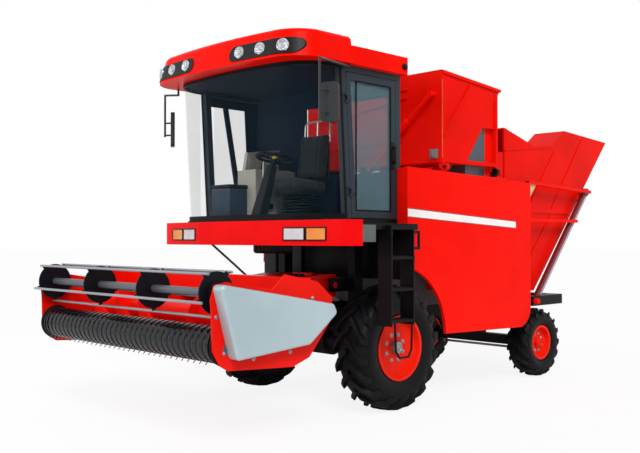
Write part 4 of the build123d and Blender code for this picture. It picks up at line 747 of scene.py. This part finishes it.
for place, yaw, wide, tall in MIRRORS:
    back = Matrix.Rotation(math.radians(yaw), 3, "Z") @ Vector((-1, 0, 0))
    turned_box(bm, at(*place) + back * 0.0235, (0.003, wide * 0.43, tall * 0.45), math.radians(yaw), 0.002)
piece("mirror_panes", bm, "chassis", mirror_glass)
lamp_white, shader, wire = new_material("lamp_reflector")
place = wire.add("TexCoord", {}, "Object")
facets = wire.add("TexVoronoi", {}, "Distance", Vector=place, Scale=70.0)
link(facets.above(0.1, 0.6).blend(rgb(252, 252, 250), rgb(150, 156, 164)), shader, "Base Color")
link(facets.to(0.1, 0.3), shader, "Roughness")
link(facets.bump(0.4, 0.004), shader, "Normal")
fixed(shader, Metallic=0.25)
ROOF_MID_Y = -0.11
ROOF_LAMP_Z = 3.5225
REFLECTOR = [(-0.004, 0), (-0.004, 0.064), (0.010, 0.064), (0.0145, 0.061), (0.0125, 0.056), (0.002, 0.031),
             (0.001, 0.018), (0.008, 0.016), (0.0115, 0.009), (0.012, 0)]
bm = bmesh.new()
for aside, x, turn in ((0.44, 1.391, 3), (0.72, 1.368, 6), (0.99, 1.322, 23)):
    for side in (1, -1):
        out = Matrix.Rotation(math.radians(side * turn), 3, "Z") @ Vector((1, 0, 0))
        lathe(bm, REFLECTOR, at(x, ROOF_MID_Y + side * aside, ROOF_LAMP_Z), out, 28)
piece("roof_lamp_units", bm, "chassis", lamp_white, 30, ("roof_lamps",))
bm = bmesh.new()
for x0, x1, z0, z1 in ((0.15, 0.29, 3.508, 3.502), (0.33, 0.46, 3.498, 3.492)):
    long_plate(bm, 1.0885, [(x0, z0), (x1, z1), (x1, z1 + 0.012), (x0, z0 + 0.012)], 0.004)
piece("roof_slots", bm, "chassis", body_red)
CORNER_LAMP = [(0, 0), (0, 0.034), (0.03, 0.034), (0.044, 0.026), (0.05, 0.012), (0.05, 0)]
bm = bmesh.new()
lathe(bm, CORNER_LAMP, at(-0.16, 1.075, 3.50), (-0.25, 1, 0), 20)
piece("rear_corner_lamp", bm, "chassis", plastic)


# Driver's place: a sprung seat with two cloth-covered foam pads, a steering column, levers and a tool box.
# The pads swell under their covers and are drawn in along sewn channels; the console is moulded beige grey.
def tube(bm, points, radius, sides=10):
    """A round bar along points."""
    points = [Vector(p) for p in points]
    last = len(points) - 1
    ways = [(points[min(i + 1, last)] - points[max(i - 1, 0)]).normalized() for i in range(last + 1)]
    side = ways[0].orthogonal().normalized()
    rings = []
    for i, point in enumerate(points):
        if i:
            side = ways[i - 1].rotation_difference(ways[i]) @ side
        other = ways[i].cross(side)
        rings.append([bm.verts.new(point + radius * (side * c + other * s)) for c, s in circle(sides)])
    skin(bm, rings)


PAD_VOXEL = 0.009
PAD_SWELL_MOST = 0.022
PAD_PRESSURE = 4.0
PAD_STEPS = 20
CHANNEL_W = 0.009
CHANNEL_DEEP = 0.010


def foam_pad(name, low, high, lean, channels):
    """A pad swollen by cloth pressure, then drawn in along its sewn channels; lean tips it back."""
    bm = bmesh.new()
    rounded(bm, low, high, 0.035, 4)
    made = placed(name, closed(bm, name))
    remesh = made.modifiers.new("remesh", "REMESH")
    remesh.mode = "VOXEL"
    remesh.voxel_size = PAD_VOXEL
    mesh = baked(made)
    made.modifiers.clear()
    made.data = mesh
    before = [v.co.copy() for v in mesh.vertices]
    cloth = made.modifiers.new("cloth", "CLOTH")
    cloth.settings.use_pressure = True
    cloth.settings.uniform_pressure_force = PAD_PRESSURE
    cloth.settings.effector_weights.gravity = 0.0
    cloth.point_cache.frame_start = 1
    cloth.point_cache.frame_end = PAD_STEPS
    for step in range(1, PAD_STEPS + 1):
        bpy.context.scene.frame_set(step)
    mesh = baked(made)
    made.modifiers.clear()
    made.data = mesh
    bpy.context.scene.frame_set(1)
    for vertex, old in zip(mesh.vertices, before):
        move = vertex.co - old
        if move.length > PAD_SWELL_MOST:
            vertex.co = old + move.normalized() * PAD_SWELL_MOST
    for vertex in mesh.vertices:
        pull = sum(math.exp(-((vertex.co[axis] - value) / CHANNEL_W) ** 2) for axis, value in channels)
        vertex.co -= vertex.normal * CHANNEL_DEEP * min(1.0, pull)
    smooth = made.modifiers.new("smooth", "SUBSURF")
    smooth.levels = 1
    smooth.render_levels = 1
    mesh = baked(made)
    bpy.data.objects.remove(made)
    middle = (Vector(low) + Vector(high)) / 2
    tip = Matrix.Rotation(math.radians(lean), 4, "Y")
    mesh.transform(Matrix.Translation(middle) @ tip @ Matrix.Translation(-middle))
    made = piece(name, mesh, "chassis", seat_cloth, 80)


seat_cloth, shader, wire = new_material("seat_cloth")
place = wire.add("TexCoord", {}, "Object")
warp, weft, rows = [wire.add("TexWave", {"bands_direction": way}, "Fac", Vector=place, Scale=110.0)
                    for way in "XYZ"]
worn = place.noise(5.0, 4.0)
weave = (warp + weft + rows) / 3.0
link((weave * 0.5 + worn * 0.5).blend(rgb(14, 14, 17), rgb(46, 47, 54)), shader, "Base Color")
link(worn.to(0.75, 0.95), shader, "Roughness")
link(weave.bump(0.4, 0.0015), shader, "Normal")
fixed(shader, Sheen_Weight=0.15)
SEAT_Y = -0.09
SIDE_CHANNELS = ((1, SEAT_Y - 0.12), (1, SEAT_Y + 0.12))
foam_pad("seat_pad", at(-0.01, SEAT_Y - 0.23, 2.262), at(0.465, SEAT_Y + 0.23, 2.352), -4,
         (*SIDE_CHANNELS, (0, AXLE_X + 0.12)))
foam_pad("back_pad", at(-0.04, SEAT_Y - 0.22, 2.39), at(0.035, SEAT_Y + 0.22, 2.90), -8,
         (*SIDE_CHANNELS, (2, 2.70)))
bm = bmesh.new()
rounded(bm, at(0.02, SEAT_Y - 0.19, 2.20), at(0.40, SEAT_Y + 0.19, 2.262), 0.012)
rounded(bm, at(0.04, SEAT_Y - 0.17, 1.931), at(0.34, SEAT_Y + 0.17, 1.98), 0.008)
for i in range(6):
    z = 1.985 + 0.036 * i
    rounded(bm, at(0.06, SEAT_Y - 0.155, z), at(0.32, SEAT_Y + 0.155, z + 0.027), 0.012)
rounded(bm, at(-0.075, SEAT_Y - 0.19, 2.25), at(-0.045, SEAT_Y + 0.19, 2.86), 0.012)
piece("seat_base", bm, "chassis", plastic, hides=("driver_seat",))
chrome = paint("bright_rod", rgb(214, 216, 220), 0.12, 0.0, rgb(240, 240, 240), dust=0.01, shine=0.5,
               metal=1.0)
RAIL = ((-0.06, -0.2, 2.8), (-0.07, -0.2, 3.0), (-0.07, -0.17, 3.04), (-0.07, 0.17, 3.04), (-0.07, 0.2, 3.0),
        (-0.06, 0.2, 2.8))
bm = bmesh.new()
tube(bm, [at(x, SEAT_Y + aside, z) for x, aside, z in RAIL], 0.011)
tube(bm, [at(-0.07, SEAT_Y, 3.04), at(-0.06, SEAT_Y, 2.8)], 0.009)
piece("seat_rail", bm, "chassis", chrome)
console_grey = paint("console_grey", rgb(206, 206, 192), 0.5, 0.0, rgb(200, 200, 192), shine=0.35)
dress(console_grey, "control_console")
bm = bmesh.new()
long_plate(bm, -0.725, [(-0.015, 2.485), (0.50, 2.485), (0.46, 2.70), (-0.015, 2.76)], 0.05)
for i in range(4):
    rounded(bm, at(0.12 * i, -0.674, 2.53), at(0.09 + 0.12 * i, -0.668, 2.66), 0.003)
rounded(bm, at(0.02, -0.66, 2.488), at(0.52, -0.44, 2.50), 0.004)
piece("lever_panel", bm, "chassis", console_grey)
KNOB = [(-0.02, 0), (-0.02, 0.014), (0.0, 0.021), (0.018, 0.018), (0.028, 0.008), (0.03, 0)]
GAITER = [(0, 0), (0, 0.028), (0.012, 0.024), (0.024, 0.012), (0.024, 0)]
bm = bmesh.new()
for x, tilt in ((0.08, 0.03), (0.17, -0.02), (0.26, 0.02), (0.36, -0.03)):
    foot, top = at(x, -0.56, 2.495), at(x + tilt, -0.55, 2.69)
    tube(bm, [foot, top], 0.007, 8)
    lathe(bm, KNOB, top, top - foot, 16)
    lathe(bm, GAITER, foot, (0, 0, 1), 16)
piece("levers", bm, "chassis", plastic)
bm = bmesh.new()
rounded(bm, at(0.475, -0.895, 1.932), at(0.805, -0.565, 2.275), 0.010)
box_slate = paint("box_slate", rgb(52, 68, 84), 0.5, 0.0, rgb(96, 110, 122), shine=0.2)
piece("tool_box", bm, "chassis", box_slate)
LONG_LEVERS = [(at(foot_x, -0.398, 2.11), at(top_x, -0.392, 2.66))
               for foot_x, top_x in ((0.40, 0.33), (0.44, 0.40), (0.48, 0.47))]
bm = bmesh.new()
rounded(bm, at(0.465, -0.905, 2.276), at(0.815, -0.555, 2.325), 0.012)
rounded(bm, at(0.34, -0.424, 2.06), at(0.54, -0.372, 2.12), 0.006)
for foot, top in LONG_LEVERS:
    lathe(bm, KNOB, top, top - foot, 16)
piece("lever_knobs", bm, "chassis", plastic)
bm = bmesh.new()
for foot, top in LONG_LEVERS:
    tube(bm, [foot, top], 0.006, 8)
piece("lever_rods", bm, "chassis", chrome)
hub_yellow = paint("hub_yellow", rgb(222, 206, 32), 0.4, 0.1, rgb(240, 230, 120))
WHEEL_R = 0.195
wheel_way = Vector((-0.21, 0, 0.98)).normalized()
ahead = Vector((wheel_way.z, 0, -wheel_way.x))
hub = at(0.575, SEAT_Y, 2.575)


def on_wheel(turn, radius, rise):
    """A place on the steering wheel."""
    return hub + Vector((0, 0, rise)) + radius * (ahead * math.cos(turn) + Vector((0, 1, 0)) * math.sin(turn))


bm = bmesh.new()
tube(bm, [on_wheel(2 * math.pi * i / 48, WHEEL_R, 0.012) for i in range(49)], 0.016, 10)
for a in (90, 210, 330):
    tube(bm, [hub, on_wheel(math.radians(a), WHEEL_R - 0.005, 0.01)], 0.012, 8)
POST_FOOT = ((0.74, -0.07, 1.936), (0.86, -0.07, 1.936), (0.86, 0.07, 1.936), (0.74, 0.07, 1.936))
POST_HEAD = ((0.57, -0.04, 2.50), (0.645, -0.04, 2.52), (0.645, 0.04, 2.52), (0.57, 0.04, 2.50))
prism(bm, *[[at(x, SEAT_Y + aside, z) for x, aside, z in ends] for ends in (POST_FOOT, POST_HEAD)])
tube(bm, [at(0.605, SEAT_Y, 2.49), hub], 0.03, 12)
piece("wheel_grip", bm, "chassis", plastic, hides=("steering_column",))
bm = bmesh.new()
lathe(bm, [(0.0, 0), (0.0, 0.03), (0.03, 0.028), (0.036, 0.018), (0.036, 0)], hub, wheel_way, 20)
piece("wheel_hub", bm, "chassis", hub_yellow)

# Header: welded red plates with a pick-up drum of black bands and steel tines, a four-disc reel above and a
# cross auger behind. Pressed silver covers close the chain drives; all of it is bolted to the side plates.
header_red = paint("header_red", rgb(236, 16, 2), 0.32, 0.05, rgb(248, 70, 50), shine=0.08)
silver = paint("silver_paint", rgb(172, 192, 198), 0.3, 0.2, rgb(226, 234, 238), shine=0.4, metal=0.15)
gloss_black = paint("gloss_black", rgb(7, 8, 11), 0.24, 0.0, rgb(40, 42, 48), dust=0.0, shine=0.24)
disc_black = paint("disc_black", rgb(9, 11, 19), 0.45, 0.0, rgb(46, 48, 60), shine=0.14)
dark_steel = paint("dark_steel", rgb(96, 99, 106), 0.4, 0.0, rgb(130, 130, 134), shine=0.5, metal=0.5)
dress(header_red, "header_frame", "feeder_house", "header_auger")
dress(silver, "header_cover_left", "header_cover_right")
dress(gloss_black, "pickup_bands")
dress(disc_black, "reel_discs")
dress(zinc, "reel_bars")
dress(dark_steel, "pickup_rotor")
PLATE_BOLTS = ((2.42, 0.83), (2.12, 0.76), (1.72, 0.78), (1.50, 0.92), (2.5, 1.12), (1.46, 1.22))
SIDE_PLATE_Y = 1.4222
spots = [(at(x, side * SIDE_PLATE_Y, z), (0, side, 0)) for side in (1, -1) for x, z in PLATE_BOLTS]
bolts("plate_bolts", spots, 0.011, "header", zinc)
REEL_X, REEL_END_Y, REEL_Z = 2.437, 1.3475, 1.303
bm = bmesh.new()
for side in (1, -1):
    lathe(bm, [(0, 0), (0, 0.085), (0.012, 0.085), (0.018, 0.06), (0.018, 0.03), (0.03, 0.026), (0.03, 0)],
          at(REEL_X, side * REEL_END_Y, REEL_Z), (0, side, 0), 28)
piece("reel_hubs", bm, "reel", disc_black)
SLEEVE = [(-0.435, 0.0302), (-0.435, 0.033), (-0.40, 0.0335), (0.40, 0.0335), (0.435, 0.033), (0.435, 0.0302),
          (-0.435, 0.0302)]
bm = bmesh.new()
for y in (-0.8945, 0.0, 0.8945):
    lathe(bm, SLEEVE, at(REEL_X, y, REEL_Z), (0, 1, 0), 24)
bmesh.ops.remove_doubles(bm, verts=bm.verts, dist=1e-6)
piece("reel_sleeves", bm, "reel", dark_steel)
SLATS = 33
SLAT_STEP = 2.70 / SLATS
SLAT_GAP = 0.008
SLAT = [(2.25, 1.0), (2.06, 0.955), (2.06, 0.948), (2.242, 0.99), (2.242, 0.96), (2.25, 0.96)]
bm = bmesh.new()
for i in range(SLATS):
    long_plate(bm, -1.35 + SLAT_STEP * i + SLAT_GAP / 2, SLAT, SLAT_STEP - SLAT_GAP)
rounded(bm, at(2.188, -1.408, 0.92), at(2.2, 1.408, 0.984), 0.002)
rounded(bm, at(2.06, -1.408, 0.925), at(2.072, 1.408, 0.952), 0.002)
piece("comb_slats", bm, "header", header_red)
DRUM_X, DRUM_END_Y, DRUM_Z = 2.385, 1.4095, 0.885
bm = bmesh.new()
for side in (1, -1):
    lathe(bm, [(0, 0), (0, 0.168), (0.008, 0.168), (0.016, 0.155), (0.016, 0.06), (0.024, 0.055), (0.024, 0)],
          at(DRUM_X, side * DRUM_END_Y, DRUM_Z), (0, -side, 0), 40)
piece("drum_shields", bm, "header", satin_black)
TOP_GUSSET = [(1.475, 1.238), (1.475, 1.385), (1.44, 1.385), (1.27, 1.285), (1.27, 1.26)]
bm = bmesh.new()
for y in (-0.41, -0.2, 0.0, 0.17, 0.41):
    long_plate(bm, y, TOP_GUSSET, 0.008)
rounded(bm, at(0.48, 0.19, 1.335), at(0.57, 0.40, 1.385), 0.006)
piece("top_gussets", bm, "header", header_red)

# Hoses: two black hydraulic hoses on the feeder's top, from a joint block into the header's back wall, and
# one that runs down from under the platform. Rubber over wire braid, so they bend widely.
hose_black = paint("hose_rubber", rgb(12, 12, 14), 0.5, 0.0, rgb(30, 30, 33), dust=0.02, shine=0.35)


def route_curve(name, route):
    """A smooth open line through the route's corners."""
    curve = bpy.data.curves.new(name, "CURVE")
    curve.dimensions = "3D"
    spline = curve.splines.new("NURBS")
    spline.points.add(len(route) - 1)
    for point, place in zip(spline.points, route):
        point.co = (*at(*place), 1)
    spline.order_u = 3
    spline.use_endpoint_u = True
    spline.resolution_u = 12
    return placed(name, curve)


HOSE_D = 0.03
INNER_ROUTE = [(0.565, 0.24, 1.36), (0.75, 0.27, 1.3385), (0.95, 0.30, 1.316), (1.12, 0.28, 1.297),
               (1.28, 0.25, 1.281), (1.40, 0.25, 1.285), (1.475, 0.25, 1.312)]
OUTER_ROUTE = [(0.565, 0.35, 1.36), (0.78, 0.375, 1.335), (0.97, 0.355, 1.314), (1.14, 0.365, 1.295),
               (1.29, 0.385, 1.28), (1.40, 0.385, 1.284), (1.475, 0.385, 1.31)]
for name, long, route in (("feeder_hose_inner", 0.922, INNER_ROUTE),
                          ("feeder_hose_outer", 0.917, OUTER_ROUTE)):
    made = route_curve(name, route)
    made.data.bevel_depth = HOSE_D / 2
    made.data.bevel_resolution = 3
    made.data.use_fill_caps = True
    made.data.materials.append(hose_black)
    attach(made, "header")
    at(*route[0])
DROP_D = 0.024
route = [(1.06, -0.78, 1.815), (1.065, -0.62, 1.722), (1.065, -0.48, 1.643), (1.055, -0.2, 1.485),
         (1.05, 0.0, 1.37), (1.045, 0.10, 1.315), (1.04, 0.15, 1.287)]
guide = route_curve("drop_route", route)
path = [v.co.copy() for v in baked(guide).vertices]
bpy.data.objects.remove(guide)
bm = bmesh.new()
tube(bm, path, DROP_D / 2, 12)
mesh = closed(bm, "drop_hose")
mesh.materials.append(hose_black)
smoothed(mesh)
drop_hose = placed("drop_hose", mesh)
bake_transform(drop_hose)
at(*route[0])

# Cylinders: drawn steel barrels with ground bright rods, pinned at both eyes.
# The bin's pair is sprayed red with the bin, rods and all; the others have black barrels and bare rods.
dress(body_red, "bin_barrels", "bin_rods")
dress(satin_black, "box_barrels", "lift_barrels")
dress(chrome, "lift_rods", "box_rods")

# Peanut bin: folded sheet walls with a folded rim and angle-iron corner posts, hinged at the left.
# Ribs and creases are pressed in; the rim is folded outwards and spot welded. The cradle is sprayed black.
sheet_red = paint("sheet_red", rgb(233, 13, 0), 0.34, 0.0, rgb(250, 62, 34), shine=0.04)
# the lighter red below paints highlights along the bin's edges
painted_highlight_red = paint("painted_highlight_red", rgb(255, 74, 44), 0.32, 0.1, rgb(255, 130, 100))
dress(sheet_red, "peanut_bin")
dress(satin_black, "bin_cradle")
BIN_SIDE_Y = 1.1002
BIN_FRONT_X = -0.7798
FRONT_RIBS = ((-0.9, 3.36, 0.62, 3.40), (-0.9, 3.12, 0.62, 3.31), (-0.9, 2.80, 0.55, 2.83))
bm = bmesh.new()
strip(bm, at(-1.309, BIN_SIDE_Y, 3.457), at(-0.823, BIN_SIDE_Y, 2.839), (0.018, 0, 0.014), (0, 0.010, 0))
strip(bm, at(-0.79, BIN_SIDE_Y, 3.535), at(-1.88, BIN_SIDE_Y, 3.448), (0, 0, 0.03), (0, 0.011, 0))
for y0, z0, y1, z1 in FRONT_RIBS:
    strip(bm, at(BIN_FRONT_X, y0, z0), at(BIN_FRONT_X, y1, z1), (0, 0, 0.024), (0.010, 0, 0))
long_plate(bm, 1.072, [(-1.80, 3.37), (-1.80, 3.0), (-1.565, 3.0)], 0.005)
piece("bin_ribs", bm, "peanut_bin", sheet_red)
# lighter strips along the rim's top edge and down the front corner post: painted highlights
bm = bmesh.new()
strip(bm, at(-0.79, 1.1072, 3.552), at(-1.89, 1.1072, 3.464), (0, 0, 0.010), (0, 0.003, 0))
strip(bm, at(-0.7795, 1.104, 2.6), at(-0.7795, 1.104, 3.45), (0, 0.012, 0), (0.004, 0, 0))
piece("bin_edges", bm, "peanut_bin", painted_highlight_red)
bm = bmesh.new()
rounded(bm, at(-0.779, 0.95, 2.60), at(-0.742, 1.05, 2.70), 0.006)
rounded(bm, at(-0.744, 0.985, 2.62), at(-0.724, 1.015, 2.68), 0.005)
piece("bin_bracket", bm, "peanut_bin", housing_grey)

# Vine box: folded sheet walls with seams parallel to the leaning rear edge, hinged on the rear frame.
# The frame is welded square tube in maroon, with a painted highlight down each leg's rear edge, and red
# stays; it stands on the black beam.
# the maroon's pale edge colour over a wide edge band paints highlights along the frame's edges
maroon = paint("maroon_frame", rgb(112, 22, 30), 0.35, 0.15, rgb(190, 150, 150), edge=0.01)
# the pale colour below is a painted highlight, not a coat the frame has
leg_highlight_paint = paint("painted_leg_highlight", rgb(178, 156, 166), 0.45, 0.0, rgb(210, 196, 202))
dress(sheet_red, "vine_box")
dress(maroon, "rear_frame")
# each seam and stay by its two ends, as (x, z)
SEAMS = [((-3.965, 3.065), (-3.176, 2.12)), ((-3.15, 2.03), (-2.70, 1.54)), ((-3.24, 2.838), (-2.70, 2.20)),
         ((-2.14, 2.79), (-3.19, 2.905))]
STAYS = (((-2.424, 2.413), (-3.93, 2.348)), ((-2.424, 1.958), (-3.578, 1.958)))
BOX_SIDE_Y = 1.0002
STAY_OUT_Y = 1.1452
STAY_MID_Y = 1.1225
STAY_TOP = 0.0172
LEG_OUT_Y = 1.1002
bm = bmesh.new()
for side in (1, -1):
    y = side * BOX_SIDE_Y
    for (x0, z0), (x1, z1) in SEAMS:
        strip(bm, at(x0, y, z0), at(x1, y, z1), (0.018, 0, 0.016), (0, side * 0.010, 0))
piece("box_seams", bm, "vine_box", sheet_red)
bm = bmesh.new()
for side in (1, -1):
    y, mid = side * STAY_OUT_Y, side * STAY_MID_Y
    for (x0, z0), (x1, z1) in STAYS:
        strip(bm, at(x0, y, z0), at(x1, y, z1), (0, 0, 0.037), (0, side * 0.004, 0))
        strip(bm, at(x0, mid, z0 + STAY_TOP), at(x1, mid, z1 + STAY_TOP), (0, 0.046, 0), (0, 0, 0.003))
piece("stay_faces", bm, "chassis", body_red)
# a pale strip down each leg's outer rear edge: a painted highlight
bm = bmesh.new()
for side in (1, -1):
    y = side * LEG_OUT_Y
    strip(bm, at(-2.746, y, 1.045), at(-3.9565, y, 2.382), (0.044, 0, 0), (0, side * 0.002, 0))
piece("leg_edges", bm, "chassis", leg_highlight_paint)
bm = bmesh.new()
for side in (1, -1):
    lathe(bm, [(0, 0), (0, 0.035), (0.05, 0.035), (0.06, 0.028), (0.06, 0)], at(-2.6, side * 1.108, 0.97),
          (0, side, 0), 20)
piece("beam_pins", bm, "chassis", body_red)
